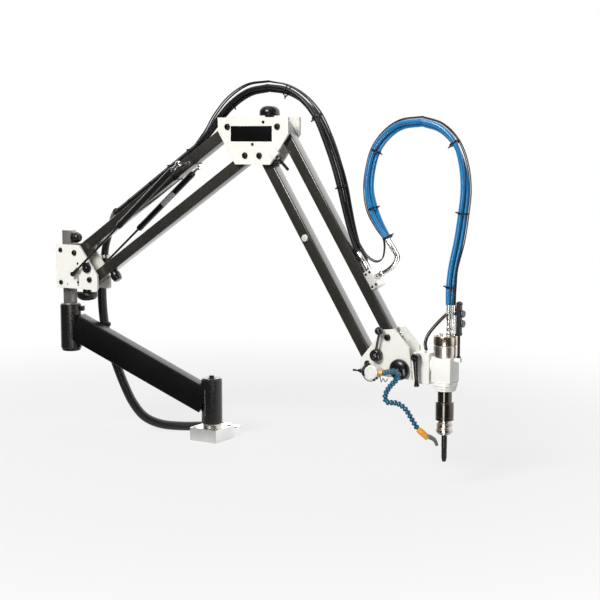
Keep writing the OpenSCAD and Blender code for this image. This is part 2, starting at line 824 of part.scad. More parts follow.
// The jointed coolant line from the valve to the nozzle beside the tap, as [U, V, Z] from
// the outer head pivot
COOLANT = [
    [0.1, -61, -104.5], [26, -68, -97], [55, -74, -93], [58, -75, -110],
    [44, -75, -125], [30, -75, -140], [18, -74, -157], [12, -73, -174],
    [18, -72, -190], [42, -71, -188], [62, -70, -192], [81, -68, -206],
    [95, -66, -227], [108, -64, -247], [118, -61, -262], [150, -45, -293], [163, -28, -310]
];
coolant_d = 14;

module coolant_line()
    color("#1c5fa8") at(hd_up) hose(COOLANT, coolant_d, [0, 1, 0], 8, start = [1, 0, 0]);

ball_hub = [-34, -56];
ball_arm = 78;
ball_lean = 11;

// The head's clamping lever: a round hub, a rod and a ball
module ball_lever()
    color("#161616") at(hd_up + ball_hub) {
        across(19, -plate_out - 20, -plate_out - 0.1);
        translate([0, -plate_out - 15, 0]) rotate([0, ball_lean, 0]) {
            translate([0, 0, 15]) cylinder(d = 8, h = ball_arm - 15);
            translate([0, -5, ball_arm]) sphere(d = 25);
        }
    }

lever_arm = 76;

// The ratchet lever that tightens the tilt clamp
module ratchet_lever()
    color("#161616") at([clamp_u + 16, tilt_z + lever_z]) {
        across(5, -clamp_v - 3, clamp_v - 8);
        across(12, -clamp_v - 28, -clamp_v - 0.1);
        translate([0, -clamp_v - 20, 0]) rotate([0, -4, 0]) rotate([180, 0, 0]) {
            cylinder(d1 = 16, d2 = 13, h = lever_arm);
            translate([0, 0, lever_arm]) cylinder(d1 = 13, d2 = 17, h = 8);
        }
    }

collar_d = 76;
collar_h = 25;
spindle_d = 24;

// The block that turns on the tilt journal, with the spindle's bearing collar below it
module motor_block()
    color("#ece9df") arm_plane() translate([spindle_u, 0, 0]) difference() {
        union() {
            translate([-block_w / 2, -block_w / 2, block_bottom])
                cube([block_w, block_w, block_h]);
            translate([0, 0, block_bottom - collar_h]) {
                cylinder(d = collar_d - 10, h = 9);
                translate([0, 0, 8]) cylinder(d = collar_d - 5, h = 9);
                translate([0, 0, 16]) cylinder(d = collar_d, h = collar_h - 15);
            }
            translate([clamp_end - spindle_u + 0.2, 0, tilt_z]) rotate([0, 90, 0])
                cylinder(d = tilt_d + 22, h = 9);
            translate([clamp_u + 8 - spindle_u, 0, tilt_z]) rotate([0, 90, 0])
                cylinder(d = tilt_d, h = block_u - clamp_u);
            translate([block_w / 2 - 1, -8, tilt_z + 2]) cube([22, 16, 25]);
        }
        translate([0, 0, block_bottom - collar_h - 1])
            cylinder(d = spindle_d + 2 * fit, h = collar_h + 20);
    }

module motor()
    color("#b9b5ab") arm_plane() translate([spindle_u, 0, block_top]) difference() {
        cylinder(d = motor_d, h = motor_h);
        translate([0, 0, 34]) difference() {
            cylinder(d = motor_d + 2, h = 1.6);
            translate([0, 0, -1]) cylinder(d = motor_d - 3, h = 4);
        }
    }

// Ferrules and swivel nuts between the blue hoses and the motor's top
module head_fittings()
    color("silver") arm_plane() for (s = [-1, 1])
        translate([spindle_u + port_u, s * pair_v, 0]) {
            translate([0, 0, motor_top]) cylinder(d = 15, h = 16, $fn = 6);
            translate([0, 0, motor_top + 16 - eps])
                cylinder(d = 11, h = hose_end_z - head_ferrule - motor_top - 15);
            translate([0, 0, hose_end_z - head_ferrule]) cylinder(d = ferrule_d, h = head_ferrule);
        }

module_z = [92, 192];
module_u = block_w / 2 + 1;
module_w = 13;
module_d = 17;
button_z = [158, 129];
button_d = 22;
button_bore = 10;

// The valve box with two push buttons, on a rod beside the motor
module control_module()
    color("#26282b") arm_plane() translate([spindle_u, 0, tilt_z]) difference() {
        union() {
            translate([module_u + 4.5, -module_d / 2, module_z[0]])
                cube([module_w, module_d, module_z[1] - module_z[0]]);
            translate([module_u + 11, 0, 27]) cylinder(d = 8, h = module_z[0] - 27 + 1);
        }
        for (z = button_z)
            translate([module_u + 4.5 + module_w - button_bore, 0, z]) rotate([0, 90, 0])
                cylinder(d = 10 + 2 * fit, h = button_bore + 1);
    }

module button(z)
    color("#3b6f97") arm_plane()
        translate([spindle_u + module_u + 4.5 + module_w, 0, tilt_z + z]) rotate([0, 90, 0]) {
            translate([0, 0, -button_bore + button_travel + 0.3])
                cylinder(d = 10, h = button_bore + 1);
            translate([0, 0, button_travel + 0.3]) cylinder(d = button_d, h = 7);
        }

module button_upper() button(button_z[0]);

module button_lower() button(button_z[1]);

neck_d = 43;
neck_z = block_bottom - collar_h - 0.5;
chuck_z = neck_z - 33;
core_z = chuck_z - 56;
sleeve_z = core_z - 38;
sleeve_od = 52;
core_d = 40;
tap_len = 74;
tap_lead = 6;
taper_h = 8;

// The turning spindle: journal, neck, chuck body, core, tap holder and tap
module spindle()
    color("#37332f") arm_plane() translate([spindle_u, 0, 0]) {
        translate([0, 0, neck_z]) cylinder(d = spindle_d, h = collar_h + 15);
        translate([0, 0, chuck_z]) cylinder(d = neck_d, h = 33);
        translate([0, 0, core_z]) cylinder(d = chuck_d, h = chuck_z - core_z);
        translate([0, 0, sleeve_z - 4]) cylinder(d = core_d, h = core_z - sleeve_z + 5);
        translate([0, 0, sleeve_z - taper_h]) cylinder(d1 = 22, d2 = 34, h = taper_h - 3);
        translate([0, 0, sleeve_z - taper_h - tap_len]) cylinder(d = tap_d, h = tap_len + 1);
        translate([0, 0, sleeve_z - taper_h - tap_len - tap_lead])
            cylinder(d1 = tap_d * 0.6, d2 = tap_d, h = tap_lead);
    }

// The sprung quick-change sleeve, which slides up to free the tap holder
module chuck_sleeve()
    color("#a8a39a") arm_plane() translate([spindle_u, 0, sleeve_z]) difference() {
        union() {
            translate([0, 0, 6]) cylinder(d = sleeve_od, h = core_z - sleeve_z - chuck_travel - 6.3);
            cylinder(d1 = sleeve_od - 8, d2 = sleeve_od, h = 6.01);
        }
        translate([0, 0, -1]) cylinder(d = core_d + 2 * fit, h = core_z - sleeve_z + 2);
    }

// ---- hoses ----

upper_dir = [cos(upper_lift), sin(upper_lift)];

module hose_arch_rear()
    color("#181818") hose_pair(ARCH_REAR, hose_d, upper_dir, through(ARCH_REAR, ARCH_FRONT));

module hose_arch_front()
    color("#181818")
        hose_pair(
            trimmed(ARCH_FRONT, through(ARCH_REAR, ARCH_FRONT)), hose_d,
            through(ARCH_REAR, ARCH_FRONT), [cos(fore_drop), -sin(fore_drop)]
        );

module hose_shoulder_bend()
    color("#181818") arm_plane()
        hose(
            trimmed(SHOULDER_BEND, SHOULDER_BEND[1] - SUPPLY_HANG[1]), bend_d,
            start = SHOULDER_BEND[1] - SUPPLY_HANG[1], end = flat3(upper_dir)
        );

module hose_loop_rise()
    color("#1579c4")
        hose_pair(LOOP_RISE, hose_d, LOOP_RISE[0] - bend_exit, through(LOOP_RISE, LOOP_DROP));

module hose_loop_drop()
    color("#1579c4")
        hose_pair(
            trimmed(LOOP_DROP, through(LOOP_RISE, LOOP_DROP)), hose_d,
            through(LOOP_RISE, LOOP_DROP), [0, -1]
        );

// Route of the control box's cable, as [U, V, Z] from the spindle's axis at the tilt's height
CABLE = [
    [43, 13.1, 163], [33, 17, 162], [22, 21.5, 161], [-2, 24, 153], [-35, 24, 119], [-60, 23, 84],
    [-68, 22, 58], [-68, 22, clamp_above + 0.2]
];
cable_d = 9;

// The black cable from the control box to the clamp block
module head_cable()
    color("#222222") arm_plane() translate([spindle_u, 0, tilt_z])
        hose(CABLE, cable_d, [0, 1, 0], 8);

module supply_hang()
    color("#181818") arm_plane()
        hose(
            SUPPLY_HANG, bundle_d, start = SUPPLY_HANG[1] - SHOULDER_BEND[1],
            end = through(SUPPLY_HANG, SUPPLY_FLOOR)
        );

module supply_floor()
    color("#181818") arm_plane()
        hose(
            trimmed(SUPPLY_FLOOR, through(SUPPLY_HANG, SUPPLY_FLOOR)), bundle_d, [0, 0, 1],
            start = through(SUPPLY_HANG, SUPPLY_FLOOR)
        );

supply_end = SUPPLY_FLOOR[len(SUPPLY_FLOOR) - 1];
supply_dir = supply_end - SUPPLY_FLOOR[len(SUPPLY_FLOOR) - 2];

// The two quick couplers at the supply bundle's free end
module supply_couplers()
    color("silver") arm_plane() translate(supply_end)
        rotate([0, 0, atan2(supply_dir[1], supply_dir[0])]) rotate([0, 90, 0]) {
            cylinder(d = bundle_d - 2, h = 26);
            for (s = [-1, 1])
                translate([0, s * 7.4, 26 - eps]) cylinder(d = 13, h = 34);
        }

base_block();
base_post();
base_cap();
base_sleeve();
swing_bushes();
riser_beam();
shoulder_sleeve();
sleeve_cap();
shoulder_post();
shoulder_plates();
shoulder_bolts();
shoulder_fittings();
shoulder_bumpers();
upper_tube();
upper_pivots();
hose_upper_run();
lower_tube();
lower_pivots();
lower_tube_bumper();
spring_body_front();
spring_body_rear();
spring_rod_front();
spring_rod_rear();
elbow_plates();
elbow_bolts();
elbow_bumper();
elbow_label();
elbow_stop();
fore_outer_tube();
fore_outer_pivots();
hose_manifold();
manifold_fittings();
fore_inner_tube();
fore_inner_pivots();
head_plates();
head_bolts();
head_clamp();
head_bumper();
coolant_valve();
coolant_line();
coolant_lever();
ball_lever();
ratchet_lever();
motor_block();
motor();
head_fittings();
control_module();
button_upper();
button_lower();
spindle();
chuck_sleeve();
hose_shoulder_bend();
hose_arch_rear();
hose_arch_front();
hose_loop_rise();
hose_loop_drop();
head_cable();
supply_hang();
supply_floor();
supply_couplers();
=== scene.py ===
import math
import bmesh
import bpy
from mathutils import Matrix, Vector

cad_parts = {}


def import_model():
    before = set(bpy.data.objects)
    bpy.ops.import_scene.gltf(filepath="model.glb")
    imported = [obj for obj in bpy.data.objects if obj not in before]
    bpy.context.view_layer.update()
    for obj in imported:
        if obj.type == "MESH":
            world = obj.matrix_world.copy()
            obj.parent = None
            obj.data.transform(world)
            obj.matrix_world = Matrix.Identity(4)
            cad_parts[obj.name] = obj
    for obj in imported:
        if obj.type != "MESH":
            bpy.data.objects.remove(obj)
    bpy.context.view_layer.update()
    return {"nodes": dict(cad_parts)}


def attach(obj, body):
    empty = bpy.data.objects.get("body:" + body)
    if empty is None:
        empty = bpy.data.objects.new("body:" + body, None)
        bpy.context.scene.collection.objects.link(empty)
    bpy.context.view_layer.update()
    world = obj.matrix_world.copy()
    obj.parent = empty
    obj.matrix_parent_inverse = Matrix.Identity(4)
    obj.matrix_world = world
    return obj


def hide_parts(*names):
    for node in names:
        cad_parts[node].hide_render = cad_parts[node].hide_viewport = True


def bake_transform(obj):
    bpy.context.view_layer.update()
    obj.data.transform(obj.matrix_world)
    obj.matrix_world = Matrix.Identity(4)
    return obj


# The dressed arm tapping machine. Places are given in millimetres in the arm's own plane, as
# (u, v, z): u along the arm from the shoulder post's axis, v across it, z up from the floor.
# The source of the solids uses the same values.

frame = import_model()
MM = 0.001

# ---- driving sizes, as in the part ----

REACH, TURN = 510.0, math.radians(21.5)
SHOULDER = Vector((-REACH * math.cos(TURN), -REACH * math.sin(TURN), 0.0))
LIFT, DROP = math.radians(33.5), math.radians(58.0)
UPPER_LEN, FORE_LEN = 780.0, 740.0
PAIR_X, PAIR_Z, ELBOW_HALF, HEAD_REACH = 67.0, 90.0, 94.0, 174.0
TUBE, PLATE_GAP, PLATE_T = 38.0, 29.0, 8.0
PLATE_OUT = PLATE_GAP + PLATE_T
SH_UP = (55.0, 650.0)
SH_LO = (SH_UP[0] + PAIR_X, SH_UP[1] - PAIR_Z)
EL_IN_UP = (SH_UP[0] + UPPER_LEN * math.cos(LIFT), SH_UP[1] + UPPER_LEN * math.sin(LIFT))
EL_IN_LO = (EL_IN_UP[0] + PAIR_X, EL_IN_UP[1] - PAIR_Z)
EL_MID = (EL_IN_UP[0] + ELBOW_HALF, EL_IN_UP[1])
EL_OUT_UP = (EL_MID[0] + ELBOW_HALF, EL_MID[1])
EL_OUT_LO = (EL_OUT_UP[0] - PAIR_X, EL_OUT_UP[1] - PAIR_Z)
HD_UP = (EL_OUT_UP[0] + FORE_LEN * math.cos(DROP), EL_OUT_UP[1] - FORE_LEN * math.sin(DROP))
HD_LO = (HD_UP[0] - PAIR_X, HD_UP[1] - PAIR_Z)
SPINDLE_U = HD_UP[0] + HEAD_REACH
TILT_Z = HD_UP[1] - 75.0
BLOCK_TOP = TILT_Z + 27.0
BLOCK_H, BLOCK_W = 76.0, 62.0
MOTOR_TOP = BLOCK_TOP + 64.0
HOSE_D = 15.0
PAIR_V = HOSE_D / 2 + 0.2
# where the blue hoses and their wires stand on the motor, and how high their fittings end
HOSE_U, WIRE_U, HOSE_END_Z = SPINDLE_U + 12.5, SPINDLE_U + 28.0, MOTOR_TOP + 91.0

X, Y, Z = Vector((1, 0, 0)), Vector((0, 1, 0)), Vector((0, 0, 1))


def world(u, v, z):
    """A place of the arm's plane in the row frame, in metres."""
    return (SHOULDER + Vector((u, v, z))) * MM


def near(origin, u=0.0, v=0.0, z=0.0):
    """The place u, v and z mm from a point of the arm's plane, in metres."""
    return world(origin[0] + u, v, origin[1] + z)


def base_point(x, y, z):
    """A place measured from the base's axis, in metres."""
    return Vector((x, y, z)) * MM


def along(origin, angle, x, z):
    """The place x along and z above a tube that starts at origin and rises at angle."""
    c, s = math.cos(angle), math.sin(angle)
    return (origin[0] + x * c - z * s, origin[1] + x * s + z * c)


def shifted(points, origin):
    """Points of the arm's plane that are given from origin."""
    return [(p[0] + origin[0], p[1] + origin[1]) for p in points]


# ---- materials ----


def feed(tree, socket, value):
    """Gives a socket a plain value or the output of another node."""
    if isinstance(value, bpy.types.NodeSocket):
        tree.links.new(value, socket)
    else:
        socket.default_value = value


def node(tree, kind, sockets=(), **settings):
    """A new shader node with its settings and what its sockets take."""
    made = tree.nodes.new("ShaderNode" + kind)
    for key, value in settings.items():
        setattr(made, key, value)
    for key, value in dict(sockets).items():
        feed(tree, made.inputs[key], value)
    return made


def noise(tree, scale, stretch=(1, 1, 1), detail=4.0):
    """A noise in the object's own space."""
    coord = node(tree, "TexCoord").outputs["Object"]
    mapping = node(tree, "Mapping", {"Vector": coord, "Scale": stretch})
    return node(tree, "TexNoise", {"Vector": mapping.outputs["Vector"], "Scale": scale,
        "Detail": detail}).outputs["Fac"]


def ramp(tree, source, low, high, start=0.35, end=0.65):
    """A colour that goes from low to high over a part of source's range."""
    made = node(tree, "ValToRGB", {"Fac": source})
    for stop, place, color in zip(made.color_ramp.elements, (start, end), (low, high)):
        stop.position, stop.color = place, (*color, 1)
    return made.outputs["Color"]


def finish(name, slot, color, rough, metal=0.0, vary=0.12, scale=9.0, stretch=(1, 1, 1),
        grain=300.0, bump=0.06, grain_stretch=(1, 1, 1), edge=0.0008, coat=0.0, rough_vary=0.08,
        spec=0.5, coat_rough=0.08):
    """A procedural finish and its record slot: slow colour change, fine grain in the normal,
    softened edges."""
    mat = bpy.data.materials.new(name)
    mat.use_nodes = True
    tree = mat.node_tree
    bsdf = tree.nodes["Principled BSDF"].inputs
    bsdf["Base Color"].default_value = (*color, 1)
    bsdf["Roughness"].default_value = rough
    low = tuple(max(0.0, c * (1 - vary)) for c in color)
    high = tuple(min(1.0, c * (1 + vary)) for c in color)
    fine = noise(tree, grain, grain_stretch, 3.0)
    smoothest, roughest = max(0.02, rough - rough_vary), min(1.0, rough + rough_vary)
    bumper = node(tree, "Bump", {"Strength": bump, "Distance": 0.0006, "Height": fine})
    if edge:
        bevel = node(tree, "Bevel", {"Radius": edge}, samples=4)
        feed(tree, bumper.inputs["Normal"], bevel.outputs["Normal"])
    for key, value in {"Base Color": ramp(tree, noise(tree, scale, stretch), low, high),
            "Roughness": ramp(tree, fine, (smoothest,) * 3, (roughest,) * 3, 0.3, 0.7),
            "Metallic": metal, "Coat Weight": coat, "Coat Roughness": coat_rough,
            "Specular IOR Level": spec, "Normal": bumper.outputs["Normal"]}.items():
        feed(tree, bsdf[key], value)
    return mat, slot


# each finish with the record's slot that it stands for
MATS = {
    "gloss_black": finish("gloss_black_paint", "black_paint", (0.010, 0.009, 0.008), 0.26,
        vary=0.2, grain=140, bump=0.012, rough_vary=0.03, coat=0.12, edge=0.0015, spec=0.35),
    "beam_black": finish("beam_black_paint", "black_paint", (0.0040, 0.0042, 0.0042), 0.34,
        vary=0.2, grain=160, spec=0.12),
    "tube": finish("tube_charcoal_paint", "charcoal_paint", (0.030, 0.028, 0.023), 0.34, 0.2,
        vary=0.14, grain=420, bump=0.05, scale=14, spec=0.3, coat=1.0, coat_rough=0.13),
    "cream": finish("cream_powder_coat", "cream_paint", (0.79, 0.775, 0.715), 0.34, vary=0.025,
        grain=260, bump=0.04, coat=0.10, edge=0.0012),
    "white": finish("white_powder_coat", "cream_paint", (0.86, 0.85, 0.80), 0.30, vary=0.02,
        grain=260, bump=0.03, coat=0.15, edge=0.0012),
    "post": finish("post_grey_steel", "bright_steel", (0.27, 0.25, 0.245), 0.34, 0.6, vary=0.15,
        grain=240, grain_stretch=(1, 1, 0.05), edge=0.001),
    "steel": finish("brushed_steel", "bright_steel", (0.50, 0.47, 0.43), 0.24, 1.0, vary=0.10,
        grain=260, grain_stretch=(0.05, 0.05, 1), bump=0.05),
    "motor": finish("motor_steel", "bright_steel", (0.40, 0.34, 0.27), 0.24, 1.0, vary=0.30,
        scale=22, stretch=(1, 1, 0.04), grain_stretch=(1, 1, 0.03)),
    "motor_low": finish("motor_flange_steel", "bright_steel", (0.62, 0.58, 0.53), 0.34, 1.0,
        scale=22, stretch=(1, 1, 0.04), grain_stretch=(1, 1, 0.03), bump=0.05),
    "alu": finish("machined_aluminium", "block_aluminium", (0.66, 0.66, 0.65), 0.30, 1.0,
        vary=0.07, grain=260, grain_stretch=(0.06, 1, 1), bump=0.05, edge=0.001),
    "bright_alu": finish("bright_aluminium", "block_aluminium", (0.80, 0.79, 0.76), 0.36, 0.35,
        vary=0.05, grain=260, bump=0.04, edge=0.001),
    "chrome": finish("plated_fitting", "plated_steel", (0.78, 0.77, 0.74), 0.26, 1.0, vary=0.08,
        grain=90, bump=0.01, rough_vary=0.05),
    "black_oxide": finish("black_oxide_bolt", "dark_steel", (0.022, 0.020, 0.018), 0.30, 0.5,
        vary=0.2, grain=400, bump=0.04, edge=0.0004, spec=0.3),
    "chuck": finish("polished_black_steel", "dark_steel", (0.085, 0.076, 0.066), 0.14, 0.9,
        vary=0.15, grain=260, grain_stretch=(0.04, 0.04, 1), bump=0.03),
    "tap": finish("black_tap_steel", "dark_steel", (0.018, 0.017, 0.016), 0.30, 0.5, vary=0.2,
        grain=400, bump=0.05, edge=0.0002),
    "rubber": finish("glossy_black_rubber", "black_rubber", (0.007, 0.0065, 0.006), 0.24, vary=0.2,
        grain=60, bump=0.04, coat=0.12, spec=0.4),
    "hose": finish("black_rubber_hose", "black_rubber", (0.007, 0.007, 0.007), 0.40, vary=0.25,
        grain=500, bump=0.04, edge=0, spec=0.35),
    "blue": finish("blue_hose_cover", "blue_hose", (0.003, 0.170, 0.400), 0.30, vary=0.08,
        bump=0.015, coat=0.25, edge=0),
    "wire": finish("dark_wire", "black_rubber", (0.018, 0.014, 0.013), 0.4, vary=0.2, grain=500,
        bump=0.04, edge=0, spec=0.3),
    "tie": finish("cable_tie", "black_plastic", (0.008, 0.008, 0.008), 0.38, vary=0.2, grain=600,
        bump=0.03, edge=0.0002, spec=0.3),
    "line_blue": finish("coolant_line_blue", "coolant_blue", (0.004, 0.080, 0.150), 0.22,
        vary=0.15, bump=0.02, coat=0.5, edge=0.0002),
    "orange": finish("orange_adaptor", "white_plastic", (0.78, 0.34, 0.03), 0.32, vary=0.08,
        bump=0.04, edge=0.0004),
    "nozzle": finish("grey_nozzle", "black_plastic", (0.16, 0.16, 0.155), 0.34, vary=0.1,
        bump=0.03, edge=0.0003),
    "plastic": finish("black_plastic", "black_plastic", (0.008, 0.008, 0.008), 0.22, vary=0.2,
        grain=200, bump=0.03, coat=0.12, edge=0.0006, spec=0.4),
    "box": finish("control_box_plastic", "black_plastic", (0.016, 0.018, 0.020), 0.40, vary=0.15,
        grain=500, bump=0.08, edge=0.001, spec=0.3),
    "button": finish("button_plastic", "button_blue", (0.040, 0.048, 0.056), 0.30, vary=0.1,
        bump=0.03, edge=0.0004),
    "bronze": finish("bronze_bush", "bronze", (0.55, 0.36, 0.14), 0.32, 1.0, grain=200),
    "label": finish("label_black", "black_plastic", (0.004, 0.004, 0.004), 0.24, vary=0.15,
        grain=200, bump=0.002, rough_vary=0.02, edge=0.0002, spec=0.25),
    "pale_label": finish("pale_label", "white_plastic", (0.62, 0.62, 0.60), 0.4, vary=0.05,
        bump=0.02, edge=0),
    "valve": finish("valve_white_plastic", "white_plastic", (0.74, 0.735, 0.70), 0.30, vary=0.04,
        bump=0.03),
}

CAD_FINISH = {
    "base_block": "alu", "base_post": "steel", "swing_bushes": "bronze",
    "shoulder_plates": "cream", "shoulder_fittings": "steel",
    "upper_pivots": "steel", "lower_pivots": "steel",
    "elbow_plates": "cream",
    "fore_outer_pivots": "steel", "fore_inner_pivots": "steel",
    "head_plates": "cream", "head_clamp": "white",
}


def paint(obj, mat):
    """Gives an object one of the finishes."""
    obj.data.materials.clear()
    obj.data.materials.append(MATS[mat][0])


for node_name, mat_name in CAD_FINISH.items():
    paint(frame["nodes"][node_name], mat_name)


# ---- mesh helpers ----


def piece(name, body, mat, bm, smooth=40.0, replaces=()):
    """Turns a bmesh in row-frame metres into a piece that rides on a body, if one is given."""
    bmesh.ops.recalc_face_normals(bm, faces=bm.faces)
    mesh = bpy.data.meshes.new(name)
    bm.to_mesh(mesh)
    bm.free()
    mesh.shade_smooth()
    mesh.set_sharp_from_angle(angle=math.radians(smooth))
    obj = bpy.data.objects.new(name, mesh)
    bpy.context.scene.collection.objects.link(obj)
    paint(obj, mat)
    if body:
        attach(obj, body)
    if replaces:
        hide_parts(*replaces)
    return obj


def axes_for(direction):
    d = Vector(direction).normalized()
    side = d.cross(Z) if abs(d.z) < 0.9 else d.cross(Y)
    side.normalize()
    return d, side, side.cross(d)


def hex_radius(angle):
    """How far a hexagon's edge lies, for one whose corners are at 1."""
    a = angle % (math.pi / 3) - math.pi / 6
    return math.cos(math.pi / 6) / math.cos(a)


def bridge(bm, rings, caps=False):
    """Joins each ring of vertices to the next; a ring of one vertex is a tip."""
    for low, high in zip(rings, rings[1:]):
        n = max(len(low), len(high))
        for k in range(n if n > 1 else 0):
            j = (k + 1) % n
            if len(low) == 1:
                bm.faces.new((low[0], high[j], high[k]))
            elif len(high) == 1:
                bm.faces.new((low[k], low[j], high[0]))
            else:
                bm.faces.new((low[k], low[j], high[j], high[k]))
    if caps:
        bm.faces.new(list(reversed(rings[0])))
        bm.faces.new(rings[-1])


def add_turned(bm, origin, direction, profile, segs=48):
    """Adds a turned form. Profile holds (radius, height, hexness) in mm along direction. One
    that doesn't end where it starts is closed onto the axis at both ends."""
    d, a, b = axes_for(direction)
    points = list(profile)
    if points[0] != points[-1]:
        points = ([(0, points[0][1])] * (points[0][0] > 0) + points + [(0, points[-1][1])]
            * (points[-1][0] > 0))
    rings = []
    for point in points:
        r, h, hexness = (*point, 0.0)[:3]
        centre = origin + d * h * MM
        if r <= 0:
            rings.append([bm.verts.new(centre)])
            continue
        ring = []
        for k in range(segs):
            t = 2 * math.pi * k / segs
            rr = r * ((1 - hexness) + hexness * hex_radius(t)) * MM
            ring.append(bm.verts.new(centre + a * math.cos(t) * rr + b * math.sin(t) * rr))
        rings.append(ring)
    bridge(bm, rings)


def turned(name, body, mat, origin, direction, profile, segs=48, smooth=40.0, replaces=()):
    """A piece of one turned form."""
    bm = bmesh.new()
    add_turned(bm, origin, direction, profile, segs)
    return piece(name, body, mat, bm, smooth, replaces)


def add_box(bm, matrix, lo, hi, bevel=1.0):
    """Adds a box from lo to hi, in mm of the matrix's frame, with rounded edges."""
    part = bmesh.new()
    bmesh.ops.create_cube(part, size=1.0)
    size = Vector(hi) - Vector(lo)
    mid = (Vector(hi) + Vector(lo)) / 2
    for v in part.verts:
        v.co = Vector((v.co.x * size.x, v.co.y * size.y, v.co.z * size.z)) + mid
    if bevel:
        bmesh.ops.bevel(part, geom=part.edges[:], offset=bevel, segments=3, affect="EDGES",
            profile=0.5)
    merge(bm, part, matrix)


def merge(bm, part, matrix):
    """Copies part, given in mm of the matrix's frame, into bm and frees it."""
    copies = {v: bm.verts.new(matrix @ (v.co * MM)) for v in part.verts}
    for f in part.faces:
        bm.faces.new([copies[v] for v in f.verts])
    part.free()


def plane_matrix(u=0.0, z=0.0, angle=0.0, v=0.0):
    """The frame at a place of the arm's plane whose X rises at angle."""
    return Matrix.Translation(world(u, v, z)) @ Matrix.Rotation(-angle, 4, "Y")


def spline(points, step=12.0):
    """A Catmull-Rom curve through points in mm, sampled about every step mm."""
    pts = [Vector(p) for p in points]
    ends = [2 * pts[0] - pts[1]] + pts + [2 * pts[-1] - pts[-2]]
    out = []
    for p0, p1, p2, p3 in zip(ends, ends[1:], ends[2:], ends[3:]):
        count = max(1, round((p2 - p1).length / step))
        for k in range(count):
            t = k / count
            out.append(0.5 * (2 * p1 + (p2 - p0) * t + (2 * p0 - 5 * p1 + 4 * p2 - p3) * t * t
                + (3 * p1 - p0 - 3 * p2 + p3) * t ** 3))
    out.append(pts[-1])
    return out


def add_tube(bm, path, radius, sides=16):
    """Sweeps a round tube along world points; radius is one number in mm or one a point."""
    n = len(path)
    radii = radius if isinstance(radius, (list, tuple)) else [radius] * n
    tangents = [(path[min(i + 1, n - 1)] - path[max(i - 1, 0)]).normalized() for i in range(n)]
    a = axes_for(tangents[0])[1]
    rings = []
    for i in range(n):
        t = tangents[i]
        a = (a - t * a.dot(t)).normalized()
        b = t.cross(a)
        rings.append([bm.verts.new(path[i] + (a * math.cos(2 * math.pi * k / sides) + b
            * math.sin(2 * math.pi * k / sides)) * radii[i] * MM) for k in range(sides)])
    bridge(bm, rings, caps=True)


def flat(route, v):
    """A route of (u, z) points at v mm across."""
    return [(p[0], v, p[1]) for p in route]


def smooth_path(route, step):
    """A smooth path in the world through a route of (u, v, z) points."""
    return [w * MM for w in spline([world(*p) / MM for p in route], step)]


def rounded_square(side, radius, steps=5):
    """A square outline with round corners, about the origin."""
    half = side / 2 - radius
    out = []
    for cx, cy, start in ((half, half, 0), (-half, half, 90), (-half, -half, 180),
            (half, -half, 270)):
        for k in range(steps + 1):
            a = math.radians(start + 90 * k / steps)
            out.append((cx + radius * math.cos(a), cy + radius * math.sin(a)))
    return out


# ---- arms ----

TUBE_END, TUBE_WALL, TUBE_ROUND = 17.0, 3.0, 4.5


def arm_tube(name, body, node, pivot, angle, length):
    """A square tube with round corners, open at both ends, with a wall you can see."""
    bm = bmesh.new()
    m = plane_matrix(pivot[0], pivot[1], angle)
    outer = rounded_square(TUBE, TUBE_ROUND)
    inner = rounded_square(TUBE - 2 * TUBE_WALL, TUBE_ROUND - TUBE_WALL + 0.5)
    xs = (-TUBE_END, -TUBE_END + 0.8, length + TUBE_END - 0.8, length + TUBE_END)
    scale = (0.985, 1.0, 1.0, 0.985)
    rings = [[bm.verts.new(m @ (Vector((x, p[0] * s, p[1] * s)) * MM)) for p in outer]
        for x, s in zip(xs, scale)]
    cores = [[bm.verts.new(m @ (Vector((x, p[0], p[1])) * MM)) for p in inner]
        for x in (xs[0], xs[-1])]
    bridge(bm, [cores[0], *rings, cores[1], cores[0]])
    return piece(name, body, "tube", bm, 30.0, [node])


def bolt_head(bm, place, direction, d=20.0, h=7.0):
    """A button head with a hexagon socket."""
    r = d / 2
    add_turned(bm, place, direction, [(r, 0), (r, h * 0.25), (r * 0.95, h * 0.6),
        (r * 0.78, h * 0.88), (r * 0.6, h), (r * 0.47, h, 1), (r * 0.44, h * 0.8, 1),
        (r * 0.43, h * 0.35, 1)])


def hex_nut(bm, place, direction, d=19.0, h=8.0):
    """A hexagon nut on a washer with the bolt's end standing out."""
    r = d / 2
    add_turned(bm, place, direction, [(r * 1.12, 0), (r * 1.12, 1.6), (r, 1.6, 1), (r, h - 1, 1),
        (r * 0.88, h, 0.6), (r * 0.6, h), (r * 0.56, h + 2.4), (r * 0.48, h + 3)])


def pivot_bolts(name, body, node, places):
    bm = bmesh.new()
    for u, z in places:
        bolt_head(bm, world(u, -PLATE_OUT, z), -Y)
        hex_nut(bm, world(u, PLATE_OUT, z), Y)
        add_turned(bm, world(u, -PLATE_OUT, z), Y, [(5.9, 0.5), (5.9, 73.5)], 24)
    return piece(name, body, "black_oxide", bm, 35.0, [node])


def dome(name, body, place, direction, d, h, stem_d, stem_h, replaces=()):
    """A rubber dome with a rounded rim, on its stem."""
    r, s = d / 2, stem_h
    steps = 14
    profile = [(stem_d / 2, 0), (stem_d / 2, s), (r * 0.86, s), (r * 0.95, s + h * 0.03),
        (r, s + h * 0.1), (r, s + h * 0.28)]
    for k in range(1, steps):
        a = math.pi / 2 * k / steps
        profile.append((r * math.cos(a) ** 0.8, s + h * (0.28 + 0.72 * math.sin(a) ** 0.95)))
    profile.append((0, s + h))
    return turned(name, body, "rubber", place, direction, profile, 64, 30.0, replaces)


